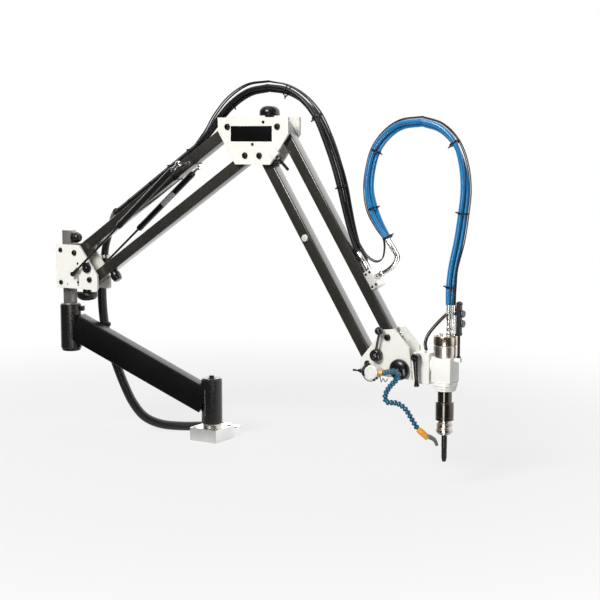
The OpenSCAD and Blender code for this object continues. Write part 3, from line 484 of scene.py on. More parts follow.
def build_arms():
    arm_tube("upper_arm_tube", "upper_arm", "upper_tube", SH_UP, LIFT, UPPER_LEN)
    arm_tube("lower_arm_tube", "lower_tube", "lower_tube", SH_LO, LIFT, UPPER_LEN)
    arm_tube("forearm_outer_tube", "fore_outer", "fore_outer_tube", EL_OUT_UP, -DROP, FORE_LEN)
    arm_tube("forearm_inner_tube", "fore_inner", "fore_inner_tube", EL_OUT_LO, -DROP, FORE_LEN)
    m = plane_matrix(SH_LO[0], SH_LO[1], LIFT)
    down = m.to_3x3() @ -Z
    turned("tube_bumper", "lower_tube", "rubber", m @ Vector((81 * MM, 0, -TUBE / 2 * MM)), down,
        [(14, 0), (14, 7), (17.5, 8), (18, 9.5), (18, 22), (16.5, 25), (15, 31), (12, 34)], 48, 35,
        ["lower_tube_bumper"])
    m = plane_matrix(EL_OUT_LO[0], EL_OUT_LO[1], -DROP)
    turned("tube_cap", "fore_inner", "bright_alu", m @ Vector((298 * MM, -TUBE / 2 * MM, 0)), -Y,
        [(11, 0), (11, 4.4), (10, 6), (3, 6.8)], 40, 35)


# ---- base and riser ----

RISER_H, RISER_W, RISER_RISE, RISER_FOOT = 90.0, 66.0, 271.0, 127.0
SLEEVE_D, SLEEVE_H, BASE_SLEEVE_Z = 73.0, 156.0, 57.0
SLEEVE_TOP = RISER_FOOT + RISER_RISE + 67.0
SHOULDER_SLEEVE_Z = SLEEVE_TOP - SLEEVE_H
RISER_TURN = Matrix.Rotation(math.pi + TURN, 4, "Z")
SLOPE = math.atan2(RISER_RISE, REACH)


def sleeve(name, node, origin, bore=30.5):
    r = SLEEVE_D / 2
    return turned(name, "riser", "gloss_black", origin, Z, [(bore, 0.5), (bore + 0.5, 0),
        (r - 1.5, 0), (r, 1.5), (r, SLEEVE_H - 1.5), (r - 1.5, SLEEVE_H), (bore + 0.5, SLEEVE_H),
        (bore, SLEEVE_H - 0.5), (bore, 0.5)], 72, 35.0, [node])


def riser_matrix(x, z):
    """The frame on the riser beam's axis, x mm from the base, X rising towards the shoulder."""
    return (RISER_TURN @ Matrix.Translation(Vector((x, 0, z)) * MM)
        @ Matrix.Rotation(-SLOPE, 4, "Y"))


def build_riser():
    sleeve("base_sleeve_tube", "base_sleeve", base_point(0, 0, BASE_SLEEVE_Z))
    sleeve("shoulder_sleeve_tube", "shoulder_sleeve", world(0, 0, SHOULDER_SLEEVE_Z))
    turned("sleeve_end_cap", "riser", "gloss_black", world(0, 0, SHOULDER_SLEEVE_Z), -Z,
        [(33.5, 0), (33.5, 5), (32, 8), (28, 10)], 64, 30, ["sleeve_cap"])
    bm = bmesh.new()
    m = riser_matrix(0, RISER_FOOT)
    length = REACH / math.cos(SLOPE)
    part = bmesh.new()
    ends = [[part.verts.new((x, y * RISER_W / 2, z * RISER_H / 2))
        for y, z in ((-1, -1), (1, -1), (1, 1), (-1, 1))] for x in (22.0, length - 22.0)]
    part.faces.new(ends[0])
    part.faces.new(list(reversed(ends[1])))
    for k in range(4):
        j = (k + 1) % 4
        part.faces.new((ends[0][k], ends[1][k], ends[1][j], ends[0][j]))
    long_edges = [e for e in part.edges if abs(e.verts[0].co.x - e.verts[1].co.x) > 100]
    bmesh.ops.bevel(part, geom=long_edges, offset=6.0, segments=5, affect="EDGES", profile=0.5)
    merge(bm, part, m)
    # the clip of the supply bundle
    add_turned(bm, world(76, 92, 387), Z,
        [(18.5, -6), (22, -6), (22, 6), (18.5, 6), (18.5, -6)], 40)
    add_box(bm, Matrix.Translation(world(76, 66, 387)), (-8, -8, -6), (8, 9, 6), 1.0)
    piece("riser_box_beam", "riser", "beam_black", bm, 30, ["riser_beam"])
    lug = RISER_TURN @ Matrix.Translation(
        Vector((REACH - SLEEVE_D / 2 - 6.5, 0, SLEEVE_TOP - 15)) * MM)
    bm = bmesh.new()
    add_box(bm, lug, (-7.5, -8, -9), (8, 8, 9), 1.5)
    piece("sleeve_stop_lug", "riser", "gloss_black", bm)
    to_side = math.sqrt(SLEEVE_D ** 2 - RISER_W ** 2) / 2
    weld_beads("base", to_side)
    weld_beads("shoulder", REACH - to_side)


def weld_beads(name, x):
    """A rippled fillet where the beam's sides meet a sleeve, x mm from the base's axis."""
    bm = bmesh.new()
    mid = RISER_FOOT + x * math.tan(SLOPE)
    half = RISER_H / 2 / math.cos(SLOPE) - 4
    ripples = 30
    for side in (-1, 1):
        path, radii = [], []
        for k in range(ripples * 3 + 1):
            z = mid - half + 2 * half * k / (ripples * 3)
            path.append(RISER_TURN @ (Vector((x, side * (RISER_W / 2 + 0.3), z)) * MM))
            radii.append(3.0 + (0.7, 0.1, -0.5)[k % 3])
        add_tube(bm, path, radii, 10)
    piece(name + "_weld_beads", "riser", "plastic", bm, 60)


def build_base():
    turned("base_cover", "base", "gloss_black", base_point(0, 0, BASE_SLEEVE_Z + SLEEVE_H), Z,
        [(33, 0.1), (33.5, 0.8), (33.5, 3.3), (32.6, 4.1), (14, 4.1), (14, 5.6), (9.5, 5.6, 1),
        (9.5, 12, 1), (8.4, 13, 0.6)], 72, 35, ["base_cap"])
    bm = bmesh.new()
    for sx in (-1, 1):
        for sy in (-1, 1):
            add_turned(bm, base_point(sx * 42, sy * 42, 33), Z, [(8.6, 0.1), (8.6, 8.4),
                (7.9, 9.4), (4.6, 9.4), (4.2, 9.4, 1), (4.2, 4, 1)], 36)
    piece("base_cap_screws", "base", "black_oxide", bm, 35)


# ---- shoulder ----

POST_W, POST_D, POST_TOP = 38.0, 32.0, 725.0
POST_BOLT_U, POST_BOLT_Z = -8.0, (657.0, 544.0)


def build_shoulder():
    bm = bmesh.new()
    add_box(bm, Matrix.Translation(world(0, 0, 0)), (-POST_W / 2, -POST_D / 2, SLEEVE_TOP + 4),
        (POST_W / 2, POST_D / 2, POST_TOP), 2.0)
    add_turned(bm, world(0, 0, SLEEVE_TOP), Z, [(32, 0.1), (32.5, 0.6), (32.5, 3.4), (32, 4)], 64)
    piece("swing_post", "shoulder", "post", bm, 40, ["shoulder_post"])
    pivot_bolts("shoulder_pivot_bolts", "shoulder", "shoulder_bolts", [SH_UP, SH_LO])
    bm = bmesh.new()
    for z in POST_BOLT_Z:
        for s in (-1, 1):
            bolt_head(bm, world(POST_BOLT_U, s * PLATE_OUT, z), Y * s, 17, 5)
            add_turned(bm, world(POST_BOLT_U, s * POST_D / 2, z), Y * s, [(9, 0), (9, 13)], 32)
    bolt_head(bm, world(SH_UP[0] + 15, -PLATE_OUT, 548), -Y, 9, 3)
    piece("shoulder_clamp_bolts", "shoulder", "black_oxide", bm, 35)
    bm = bmesh.new()
    for u, z, r in ((69, 613, 4.5), (77, 603, 2.2), (22, 540, 2.6)):
        add_turned(bm, world(u, -PLATE_OUT, z), -Y, [(r, 0.15), (r * 0.9, 0.4)], 24)
    piece("shoulder_plug_screws", "shoulder", "black_oxide", bm, 35)
    dome("shoulder_dome", "shoulder", world(SH_UP[0] + 23, 0, 525), -Z, 74, 32, 30, 12)
    turned("post_stepped_bumper", "shoulder", "rubber", world(POST_W / 2, 0, 700), X, [(15, 0),
        (15, 5.5), (18.4, 6.2), (19, 7.5), (19, 18.5), (18, 20), (17, 20.4), (16.4, 24), (14, 29),
        (11, 31.4), (7, 32)], 56, 35, ["shoulder_bumpers"])
    # the round eccentric below the front spring's foot
    turned("shoulder_eccentric", "shoulder", "plastic", world(112, -PLATE_OUT, 601), -Y,
        [(17.4, 0.05), (18, 0.8), (18, 5.4), (17, 7), (14.6, 8), (11, 8.2), (10, 7.2), (6.2, 7.2),
        (5.6, 7, 1), (5.6, 3, 1)], 56, 35)
    turned("shoulder_eccentric_core", "shoulder", "chrome", world(112, -PLATE_OUT, 601), -Y,
        [(4.6, 2.9), (4.6, 5), (3.8, 5.8), (0, 6)], 32, 35)


# ---- gas springs ----

SPRING_X, SPRING_V, SPRING_EYE, SPRING_BODY = 559.0, 50.0, 26.0, 310.0
SPRINGS = {"front": ((3.0, -73.0), 4.0, -1), "rear": ((29.0, -69.0), -12.0, 1)}


def build_springs():
    for name, (foot, head_z, side) in SPRINGS.items():
        low = (SH_UP[0] + foot[0], SH_UP[1] + foot[1])
        top = along(SH_UP, LIFT, SPRING_X, head_z)
        a, b = near(low, v=side * SPRING_V), near(top, v=side * SPRING_V)
        d = (b - a).normalized()
        length = (b - a).length / MM
        start = length - SPRING_EYE - SPRING_BODY
        turned("gas_spring_%s_cylinder" % name, "spring_" + name, "gloss_black", a, d,
            [(4.6, start), (4.8, start + 1), (9.2, start + 2.4), (10.6, start + 5),
            (11, start + 8), (11, start + 22), (10.5, start + 23.5), (10.5, start + 25.5),
            (11, start + 27), (11, length - SPRING_EYE - 10), (10, length - SPRING_EYE - 5),
            (7, length - SPRING_EYE)], 48, 32, ["spring_body_" + name])
        bm = bmesh.new()
        add_turned(bm, a, d, [(6.5, length - 27, 1), (6.5, length - 20, 1), (5.6, length - 18),
            (5.6, length - 7)], 36)
        add_turned(bm, b + Y * side * 7 * MM, -Y * side, [(6.5, 0), (9, 2), (9, 12), (6.5, 14)],
            40)
        piece("gas_spring_%s_head" % name, "spring_" + name, "chrome", bm, 35)
        bm = bmesh.new()
        add_turned(bm, a, d, [(3.95, 20), (3.95, start + 30)], 32)
        add_turned(bm, a, d, [(6.4, 6), (6.4, 22), (6.9, 22, 1), (6.9, 29, 1)], 36)
        add_turned(bm, a + Y * side * 7 * MM, -Y * side, [(4.4, 0), (8.2, 2.4), (8.5, 4),
            (8.5, 11), (7, 13.4), (5.4, 14)], 40)
        piece("gas_spring_%s_rod" % name, "spring_rod_" + name, "chuck", bm, 35,
            ["spring_rod_" + name])
        if name == "rear":
            bm = bmesh.new()
            across, up = axes_for(d)[1:]
            rings = []
            for angle in range(-75, 16, 10):
                out = (across * math.cos(math.radians(angle)) + up * math.sin(math.radians(angle)))
                rings.append([bm.verts.new(a + (d * (start + h) + out * r) * MM)
                    for h, r in ((140, 11.15), (205, 11.15), (205, 10.9), (140, 10.9))])
            bridge(bm, rings, caps=True)
            piece("gas_spring_rear_label", "spring_rear", "pale_label", bm, 35)


# ---- elbow ----

ELBOW_BUMPER_U = 42.0


def build_elbow():
    pivot_bolts("elbow_pivot_bolts", "elbow", "elbow_bolts",
        [EL_IN_UP, EL_IN_LO, EL_OUT_UP, EL_OUT_LO])
    bm = bmesh.new()
    m = plane_matrix(EL_MID[0], EL_MID[1])
    add_box(bm, m, (22, -PLATE_GAP, 0), (62, PLATE_GAP, 29), 1.0)
    add_turned(bm, near(EL_MID, 1, -PLATE_GAP, -55), Y, [(8, 0), (8, 58)], 32)
    piece("elbow_spacer_bars", "elbow", "alu", bm, 40)
    bm = bmesh.new()
    for u, z in ((42, 14), (1, -55)):
        for s in (-1, 1):
            add_turned(bm, near(EL_MID, u, s * PLATE_OUT, z), Y * s, [(5, 0), (5, 0.9), (4.4, 1.4),
                (2.6, 1.5), (2.4, 1.5, 1), (2.4, 0.4, 1)], 32)
    piece("elbow_small_screws", "elbow", "black_oxide", bm, 35)
    dome("elbow_dome", "elbow", near(EL_MID, ELBOW_BUMPER_U, 0, 29), Z, 66, 32, 30, 5,
        ["elbow_bumper"])
    bm = bmesh.new()
    add_box(bm, m, (-81, -PLATE_OUT - 1.0, -46), (74, -PLATE_OUT + 0.02, 2), 0.3)
    piece("elbow_blank_label", "elbow", "label", bm, 40, ["elbow_label"])
    build_elbow_stop()


def build_elbow_stop():
    """The bracket under the elbow's lower right corner and the threaded rod that it holds."""
    m = plane_matrix(EL_MID[0] + 92, EL_MID[1] - 88, -math.radians(44), -PLATE_OUT - 6.5)
    bm = bmesh.new()
    add_box(bm, m, (-22, -6.5, -15), (6, 6.5, 15), 2.0)
    piece("stop_bracket", "elbow", "cream", bm, 40, ["elbow_stop"])
    d = m.to_3x3() @ X
    bm = bmesh.new()
    profile = [(0, 5)]
    pitch, length = 1.6, 66.0
    for k in range(int((length - 6) / pitch)):
        h = 6 + k * pitch
        profile += [(4.9, h), (4.2, h + pitch / 2)]
    profile += [(0, length)]
    add_turned(bm, m.translation, d, profile, 28)
    add_turned(bm, m.translation, d, [(9.6, 14, 1), (9.6, 21, 1), (8.6, 22, 0.7)], 36)
    piece("stop_threaded_rod", "elbow", "black_oxide", bm, 25)


# ---- forearm manifold ----

MANIFOLD_X, MANIFOLD_T, MANIFOLD_V = (FORE_LEN - 208, FORE_LEN - 150), 29.0, 22.0
FERRULE = 30.0


def fore_point(x, z):
    return along(EL_OUT_UP, -DROP, x, z)


def ferrule_profile(length, r=7.5):
    """A crimped ferrule: a collar, four crimp waves and a hexagon at the far end."""
    out = [(r * 0.94, 0), (r, 0.8)]
    crimps = max(2, int(length * 0.55 / 5))
    for k in range(crimps):
        h = 2 + k * 5
        out += [(r, h), (r * 0.9, h + 1.5), (r * 0.9, h + 3), (r, h + 4.5)]
    h = 2 + crimps * 5
    out += [(r, h), (r * 0.8, h + 1), (r * 0.8, h + 3), (r * 1.0, h + 3, 1),
        (r * 1.0, length - 1, 1), (r * 0.85, length, 0.6)]
    return out


MANIFOLD_BEND = [fore_point(MANIFOLD_X[0] + 28, TUBE / 2 + MANIFOLD_T)] + shifted(
    [(-31, 192), (-8, 207), (8, 225), (13, 243), (3, 259)], HD_UP)


def build_manifold():
    m = plane_matrix(EL_OUT_UP[0], EL_OUT_UP[1], -DROP)
    bm = bmesh.new()
    add_box(bm, m, (MANIFOLD_X[0], -MANIFOLD_V, TUBE / 2),
        (MANIFOLD_X[1], MANIFOLD_V, TUBE / 2 + MANIFOLD_T), 1.2)
    piece("manifold_block", "fore_outer", "bright_alu", bm, 40, ["hose_manifold"])
    bm = bmesh.new()
    for x in (8, MANIFOLD_X[1] - MANIFOLD_X[0] - 8):
        for z in (7, MANIFOLD_T - 7):
            place = m @ (Vector((MANIFOLD_X[0] + x, -MANIFOLD_V, TUBE / 2 + z)) * MM)
            bolt_head(bm, place, -Y, 8, 3.5)
    piece("manifold_screws", "fore_outer", "black_oxide", bm, 35)
    bm = bmesh.new()
    first = LOOP_RISE[0]
    for s in (-1, 1):
        v = s * PAIR_V
        add_tube(bm, smooth_path(flat(MANIFOLD_BEND, v), 6), 6.4, 20)
        a, b = near(first, v=v), near(MANIFOLD_BEND[-1], v=v)
        add_turned(bm, a, b - a, ferrule_profile((b - a).length / MM, 7.65), 40)
        c = near(MANIFOLD_BEND[0], v=v)
        n = m.to_3x3() @ Z
        add_turned(bm, c, n, [(8.8, 0, 1), (8.8, 9, 1), (7.4, 11), (7.4, 14), (8.8, 15, 1),
            (8.8, 23, 1), (7.4, 25)], 36)
        top = ARCH_FRONT[-1]
        e = near(top, v=v)
        f = m @ (Vector((MANIFOLD_X[0], v, TUBE / 2 + MANIFOLD_T / 2)) * MM)
        add_turned(bm, e, f - e, ferrule_profile((f - e).length / MM, 7.65), 40)
        before = ARCH_FRONT[-2]
        back = near(before, v=v) - e
        add_turned(bm, e, back, [(7.9, 0), (7.9, 3), (8.3, 4), (8.3, 30), (7.9, 31), (7.9, 36),
            (7.2, 37)], 40)
    piece("manifold_hose_ends", "fore_outer", "chrome", bm, 35, ["manifold_fittings"])


def build_manifold_wire():
    """The black wires' free loop from the hoses' end across to the blue hoses."""
    bm = bmesh.new()
    for v, lift in ((-3.0, 0.0), (2.0, 3.0)):
        strand(bm, [(HD_UP[0] + u, v, HD_UP[1] + z + lift) for u, z in ((-133, 296), (-113, 262),
            (-92, 236), (-62, 221), (-40, 230), (-33, 254), (-33, 280), (-40, 304))], 1.9, 6, 12)
    piece("manifold_wire", "fore_outer", "wire", bm, 60)


# ---- hoses ----

RUN_X, RUN_Z = (215.0, 621.0), TUBE / 2 + HOSE_D / 2
ARCH_REAR = [along(SH_UP, LIFT, RUN_X[1], RUN_Z)] + shifted(
    [(-193, -20), (-154, 22), (-99, 72), (-33, 108), (39, 120)], EL_MID)
ARCH_END = fore_point(MANIFOLD_X[0] - FERRULE, TUBE / 2 + MANIFOLD_T / 2)
ARCH_FRONT = shifted([(39, 120), (106, 110), (167, 78), (215, 30), (250, -34)], EL_MID) + shifted(
    [(-107, 300), (-83, 226), (-66, 158), (-47, 92), (-25, 32), (0, 0)], ARCH_END)
LOOP_RISE = shifted([(-20, 292), (-48, 332), (-72, 382), (-86, 439), (-82, 497), (-64, 555),
    (-28, 600), (22, 630), (88, 638)], HD_UP)
LOOP_DROP = shifted([(88, 638), (148, 620), (194, 578), (220, 517), (230, 446), (224, 376),
    (212, 297), (196, 222), (188, 159)], HD_UP) + [(HOSE_U, HOSE_END_Z)]
BEND_END = along(SH_UP, LIFT, RUN_X[0], TUBE / 2 + 13.3)
SHOULDER_BEND = [(84, 88, 630), (92, 87, 668), (116, 76, 711), (152, 52, 752), (186, 24, 779),
    (BEND_END[0], 0, BEND_END[1])]
SUPPLY_HANG = [(84, 88, 630), (73, 88, 560), (70, 88, 480), (76, 92, 387)]
SUPPLY_FLOOR = [(76, 92, 387), (93, 100, 310), (117, 108, 236), (143, 118, 165), (168, 132, 105),
    (200, 156, 54), (246, 192, 26), (306, 236, 17), (372, 278, 17), (440, 306, 17)]


def offset_route(route, out, v):
    """A route of the arm's plane moved out mm to its left side and v mm across."""
    pts = [Vector((p[0], p[1])) for p in route]
    moved = []
    for i, p in enumerate(pts):
        t = (pts[min(i + 1, len(pts) - 1)] - pts[max(i - 1, 0)]).normalized()
        n = Vector((-t.y, t.x))
        o = out[i] if isinstance(out, list) else out
        w = v[i] if isinstance(v, list) else v
        moved.append((p.x + n.x * o, w, p.y + n.y * o))
    return moved


def strand(bm, route, radius, step=10.0, sides=16):
    add_tube(bm, smooth_path(route, step), radius, sides)


def hose_piece(name, mat, strands, node, bodies):
    """One bundle of strands that crosses the joint between two bodies."""
    bm = bmesh.new()
    for route, radius in strands:
        strand(bm, route, radius)
    obj = piece(name, None, mat, bm, 60, [node] if node else ())
    if len(bodies) == 1:
        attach(obj, bodies[0])
    else:
        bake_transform(obj)


def tie(bm, centre, direction, half_u, half_v, tail=9.0):
    """A cable tie round a pair of hoses: an oval band, its lock and its cut tail."""
    d = Vector(direction).normalized()
    side = Y
    up = side.cross(d).normalized()
    steps, width, thick = 28, 2.6, 1.1
    rings = []
    for k in range(steps):
        a = 2 * math.pi * k / steps
        c = math.copysign(abs(math.cos(a)) ** 0.6, math.cos(a))
        s = math.copysign(abs(math.sin(a)) ** 0.8, math.sin(a))
        inner = side * (half_v * c) + up * (half_u * s)
        outer = side * ((half_v + thick) * c) + up * ((half_u + thick) * s)
        rings.append([bm.verts.new(centre + (p + d * w) * MM) for p, w in (
            (inner, -width), (outer, -width), (outer, width), (inner, width))])
    bridge(bm, rings + rings[:1])
    m = Matrix.Translation(centre + up * (half_u + 2.4) * MM)
    rot = Matrix((side, d, up)).transposed().to_4x4()
    add_box(bm, m @ rot, (-3.4, -3.0, -2.6), (3.4, 3.0, 2.6), 0.6)
    add_box(bm, m @ rot, (-1.4, -1.8, 2.0), (1.4, 1.8, tail), 0.3)


def build_hoses():
    run = [along(SH_UP, LIFT, x, RUN_Z) for x in (RUN_X[0], 300, 400, 500, RUN_X[1])]
    # black pair: along the tube, over the elbow, down to the manifold
    whole = run + ARCH_REAR[1:] + ARCH_FRONT[1:]
    n1, n2 = len(run), len(run) + len(ARCH_REAR) - 1
    parts = {"upper_run": (0, n1, ["upper_arm"]),
             "arch_rear": (n1 - 1, n2, ["upper_arm", "elbow"]),
             "arch_front": (n2 - 1, len(whole), ["elbow", "fore_outer"])}
    # how far out each thin wire lies, and how far the pair turns, at each point of the route
    thin_out = [[9.5] * n1 + [13, 20, 24, 24, 20] + [18, 18, 18, 18, 17, 16, 15, 12, 10, 8],
        [10] * n1 + [16, 24, 28, 27, 22] + [17, 15, 14, 16, 20, 21, 19, 15, 12, 9]]
    inner_out = [0] * 10 + [-3, -6, -10, -13, -14, -14, -12, -9, -6, -4]
    splay = [0] * n1 + [0, 2, 4, 5, 5] + [5, 3, -2, -5, -6, -6, -5, -3, 0, 0]
    for key, (a, b, bodies) in parts.items():
        strands = hose_strands(whole, splay, a, b)
        for out, v, radius in zip(thin_out, (3.0, -3.0), (2.6, 2.2)):
            strands.append((strand_part(whole, v, out, a, b), radius))
        if key == "arch_front":
            strands.append((strand_part(whole, -4.0, inner_out, a, b), 2.4))
        hose_piece("black_hoses_" + key, "hose", strands, "hose_" + key, bodies)
    # blue pair and the wires tied to their outside, which end in a slim fitting of their own
    whole = LOOP_RISE + LOOP_DROP[1:]
    n1 = len(LOOP_RISE)
    parts = {"loop_rise": (0, n1, ["fore_outer", "head_plates"]),
             "loop_drop": (n1 - 1, len(whole), ["head_plates", "head"])}
    wire_out = [9, 15, 21, 17, 15, 15, 15, 15, 15, 15, 15, 16, 16, 16, 16, 15, 14, 13]
    splay = [0, 3, 5, 5, 5, 5, 5, 5, 5, 5, 4, 0, -4, -5, -5, -5, -4, -2]
    low = ((208, 214), (204, 164), (202.4, 137), (202, 107))
    for key, (a, b, bodies) in parts.items():
        strands = hose_strands(whole, splay, a, b)
        hose_piece("blue_hoses_" + key, "blue", strands, "hose_" + key, bodies)
        wires = []
        for v, extra, end_v, end_u in (
                (-4, 0.0, -2.4, -1.2), (0.5, 3.0, 0.2, 2.2), (5, 0.5, 2.4, -1.2)):
            route = strand_part(whole, v, [o + extra for o in wire_out], a, b)
            if key == "loop_drop":
                route = route[:-3] + [(q[0] + HD_UP[0] + end_u, end_v, q[1] + HD_UP[1])
                    for q in low]
            wires.append((route, 1.6))
        hose_piece("loop_wires_" + key, "wire", wires, None, bodies)
    build_ties()
    build_supply()


def hose_strands(whole, splay, a, b):
    """Both hoses of a pair, turned about each other by splay mm of the arm's plane."""
    out = []
    for s in (-1, 1):
        across = [s * math.sqrt(PAIR_V ** 2 - o ** 2) for o in splay]
        out.append((strand_part(whole, across, [-s * o for o in splay], a, b), HOSE_D / 2))
    return out


def strand_part(whole, v, out, a, b):
    """Points a to b of a route moved aside; moved whole, so that neighbours join."""
    return offset_route(whole, out, v)[a:b]


def build_ties():
    bm = bmesh.new()
    for x in (236, 290, 400):
        direction = (math.cos(LIFT), 0, math.sin(LIFT))
        tie(bm, near(along(SH_UP, LIFT, x, RUN_Z)), direction, 9.2, 16.5, 14)
    half, top = TUBE / 2, TUBE / 2 + HOSE_D + 1.0
    for x in (500, 595):
        m = plane_matrix(*along(SH_UP, LIFT, x, 0), LIFT)
        for lo, hi in (((-2.6, -half - 1.4, -half - 1.4), (2.6, -half, top)),
                ((-2.6, half, -half - 1.4), (2.6, half + 1.4, top)),
                ((-2.6, -half - 1.4, -half - 1.4), (2.6, half + 1.4, -half)),
                ((-2.6, -half - 1.4, top - 0.2), (2.6, half + 1.4, top + 1.2)),
                ((-4, -half - 5, -half - 3), (4, -half, -half + 5)),
                ((0, -half - 3.6, -half - 4), (22, -half - 2.2, -half - 0.4))):
            add_box(bm, m, lo, hi, 0.3)
    piece("upper_run_ties", "upper_arm", "tie", bm, 40)
    for name, route, where, bodies, half_u, half_v in (
            ("arch_rear", ARCH_REAR, (3,), ("upper_arm", "elbow"), 10.5, 16.5),
            ("arch_front", ARCH_FRONT, (1, 3, 6, 9), ("elbow", "fore_outer"), 14.5, 15.6),
            ("loop_rise", LOOP_RISE, (0, 2, 5), ("fore_outer", "head_plates"), 12.5, 15.6),
            ("loop_drop", LOOP_DROP, (2, 5, 8), ("head_plates", "head"), 13.0, 15.6)):
        bm = bmesh.new()
        for k in where:
            q, r = route[max(k - 1, 0)], route[min(k + 1, len(route) - 1)]
            d = Vector((r[0] - q[0], 0, r[1] - q[1])).normalized()
            # a tie at a route's start stands clear of the fitting there
            tie(bm, near(route[k]) + d * (4 * MM if k == 0 else 0), d, half_u, half_v)
        obj = piece(name + "_ties", None, "tie", bm, 40)
        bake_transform(obj)


def build_supply():
    bm = bmesh.new()
    strand(bm, SHOULDER_BEND, 13.0, 8, 20)
    obj = piece("supply_shoulder_bend", None, "hose", bm, 60, ["hose_shoulder_bend"])
    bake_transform(obj)
    path = smooth_path(SUPPLY_HANG + SUPPLY_FLOOR[1:], 14)
    corner = world(*SUPPLY_HANG[-1])
    cut = min(range(len(path)), key=lambda i: (path[i] - corner).length)
    for name, part, body, end in (("hang", path[:cut + 1], "shoulder", SUPPLY_HANG[0]),
                                  ("floor", path[cut:], "base", SUPPLY_FLOOR[6])):
        bm = bmesh.new()
        add_tube(bm, part, 16.0, 24)
        obj = piece("supply_hose_" + name, None, "hose", bm, 60, ["supply_" + name])
        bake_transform(obj)
    # the bundle's far end: a gathered sleeve with two quick couplers
    end = part[-1]
    d = (end - part[-2]).normalized()
    side = d.cross(Z).normalized()
    bm = bmesh.new()
    add_turned(bm, end, d, [(15, 0), (15, 4), (13.6, 6), (13.6, 20), (15, 22), (15, 26)], 48)
    for s in (-1, 1):
        add_turned(bm, end + side * s * 7.4 * MM, d, [(5.4, 24), (5.4, 32), (6.5, 33), (6.5, 44),
            (5.8, 45), (5.8, 50), (6.4, 51), (6.4, 58), (5.4, 60), (3, 60), (3, 52)], 36)
    couplers = piece("supply_quick_couplers", "base", "chrome", bm, 35, ["supply_couplers"])
    # the control box's cable, clear of the tilt's other pieces, and a thin steel line along its
    # front that is a painted highlight
    cable = [(43, 13.1, 163), (33, 17, 162), (22, 21.5, 161), (-2, 24, 155), (-35, 24, 125),
        (-66, 23, 88), (-77, 22, 60), (-74, 22, 37.2)]
    route = [(p[0] + SPINDLE_U, p[1], p[2] + TILT_Z) for p in cable]
    # painted highlight: a thin steel strand laid along the cable's front side
    highlight_line = [(p[0], p[1] - 4.8, p[2]) for p in route[3:]]
    for name, mat, line, radius, nodes in (
            ("control_cable", "wire", route, 5.2, ["head_cable"]),
            ("cable_painted_highlight", "steel", highlight_line, 0.65, ())):
        bm = bmesh.new()
        strand(bm, line, radius, 6, 14)
        obj = piece(name, None, mat, bm, 60, nodes)
        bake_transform(obj)


# ---- head ----

BALL_HUB = (HD_UP[0] - 34, HD_UP[1] - 56)
LEVER = (HD_UP[0] + 100, TILT_Z + 24)
VALVE = (HD_UP[0], HD_UP[1] - 104.5)
COOLANT_V = -61.0
COOLANT = [(0.1, -61, -104.5), (26, -68, -97), (55, -74, -93), (58, -75, -110), (44, -75, -125),
    (30, -75, -140), (18, -74, -157), (12, -73, -174), (18, -72, -190), (42, -71, -188),
    (62, -70, -192), (81, -68, -206), (95, -66, -227), (108, -64, -247), (118, -61, -262),
    (150, -45, -293), (163, -28, -310)]


def build_head():
    pivot_bolts("head_pivot_bolts", "head_plates", "head_bolts", [HD_UP, HD_LO])
    dome("head_dome", "head_plates", near(HD_UP, 44, -PLATE_OUT, -93), -Y, 64, 20, 30, 3,
        ["head_bumper"])
    # ball lever
    bm = bmesh.new()
    hub = near(BALL_HUB, v=-PLATE_OUT)
    add_turned(bm, hub, -Y, [(18.5, 0.1), (19, 1), (19, 13), (18, 16.6), (15.4, 19.2), (11, 20),
        (9.6, 19), (8.6, 17.4)], 56)
    turned("ball_lever_screw", "ball_lever", "chrome", hub, -Y, [(5.4, 17), (5.4, 18.6),
        (4.6, 19.4), (0, 19.8)], 32, 35)
    m = plane_matrix(*BALL_HUB, -math.radians(11), -PLATE_OUT - 15)
    d = m.to_3x3() @ Z
    add_turned(bm, m.translation, d, [(4.6, 13), (3.8, 26), (3.5, 68)], 28)
    ball = m @ (Vector((0, -5, 78)) * MM)
    profile = [(12.6 * math.sin(math.pi * k / 20), -12.6 * math.cos(math.pi * k / 20))
        for k in range(1, 20)]
    add_turned(bm, ball, d, [(0, -12.6)] + profile + [(0, 12.6)], 40)
    piece("ball_clamp_lever", "ball_lever", "plastic", bm, 35, ["ball_lever"])
    # ratchet lever
    bm = bmesh.new()
    lever_v = -30.0
    add_turned(bm, near(LEVER, v=lever_v), -Y, [(10, 0.1), (10, 5), (12, 7), (12, 26), (10.5, 28),
        (6, 28), (4.5, 27), (4.2, 24, 1)], 44)
    add_turned(bm, near(LEVER, v=lever_v), Y, [(5, -3), (5, 50)], 28)
    m = plane_matrix(*LEVER, math.radians(4), lever_v - 20)
    add_turned(bm, m.translation, m.to_3x3() @ -Z, [(8, 0), (7.6, 18), (6.2, 44), (5.8, 66),
        (6.4, 76), (7.8, 80), (8.2, 83), (7.4, 86), (4, 87)], 40)
    piece("ratchet_clamp_lever", "ratchet_lever", "plastic", bm, 35, ["ratchet_lever"])
    bm = bmesh.new()
    turns = [math.radians(20 * k) for k in range(19)]
    ring = [world(HD_UP[0] + 40 + 6 * math.cos(t), -PLATE_OUT + 4, HD_UP[1] + 13
        + 6 * math.sin(t)) for t in turns]
    add_tube(bm, ring, 1.7, 12)
    piece("head_eyelet", "head_plates", "chrome", bm, 40)
    build_valve()
    build_power_head()


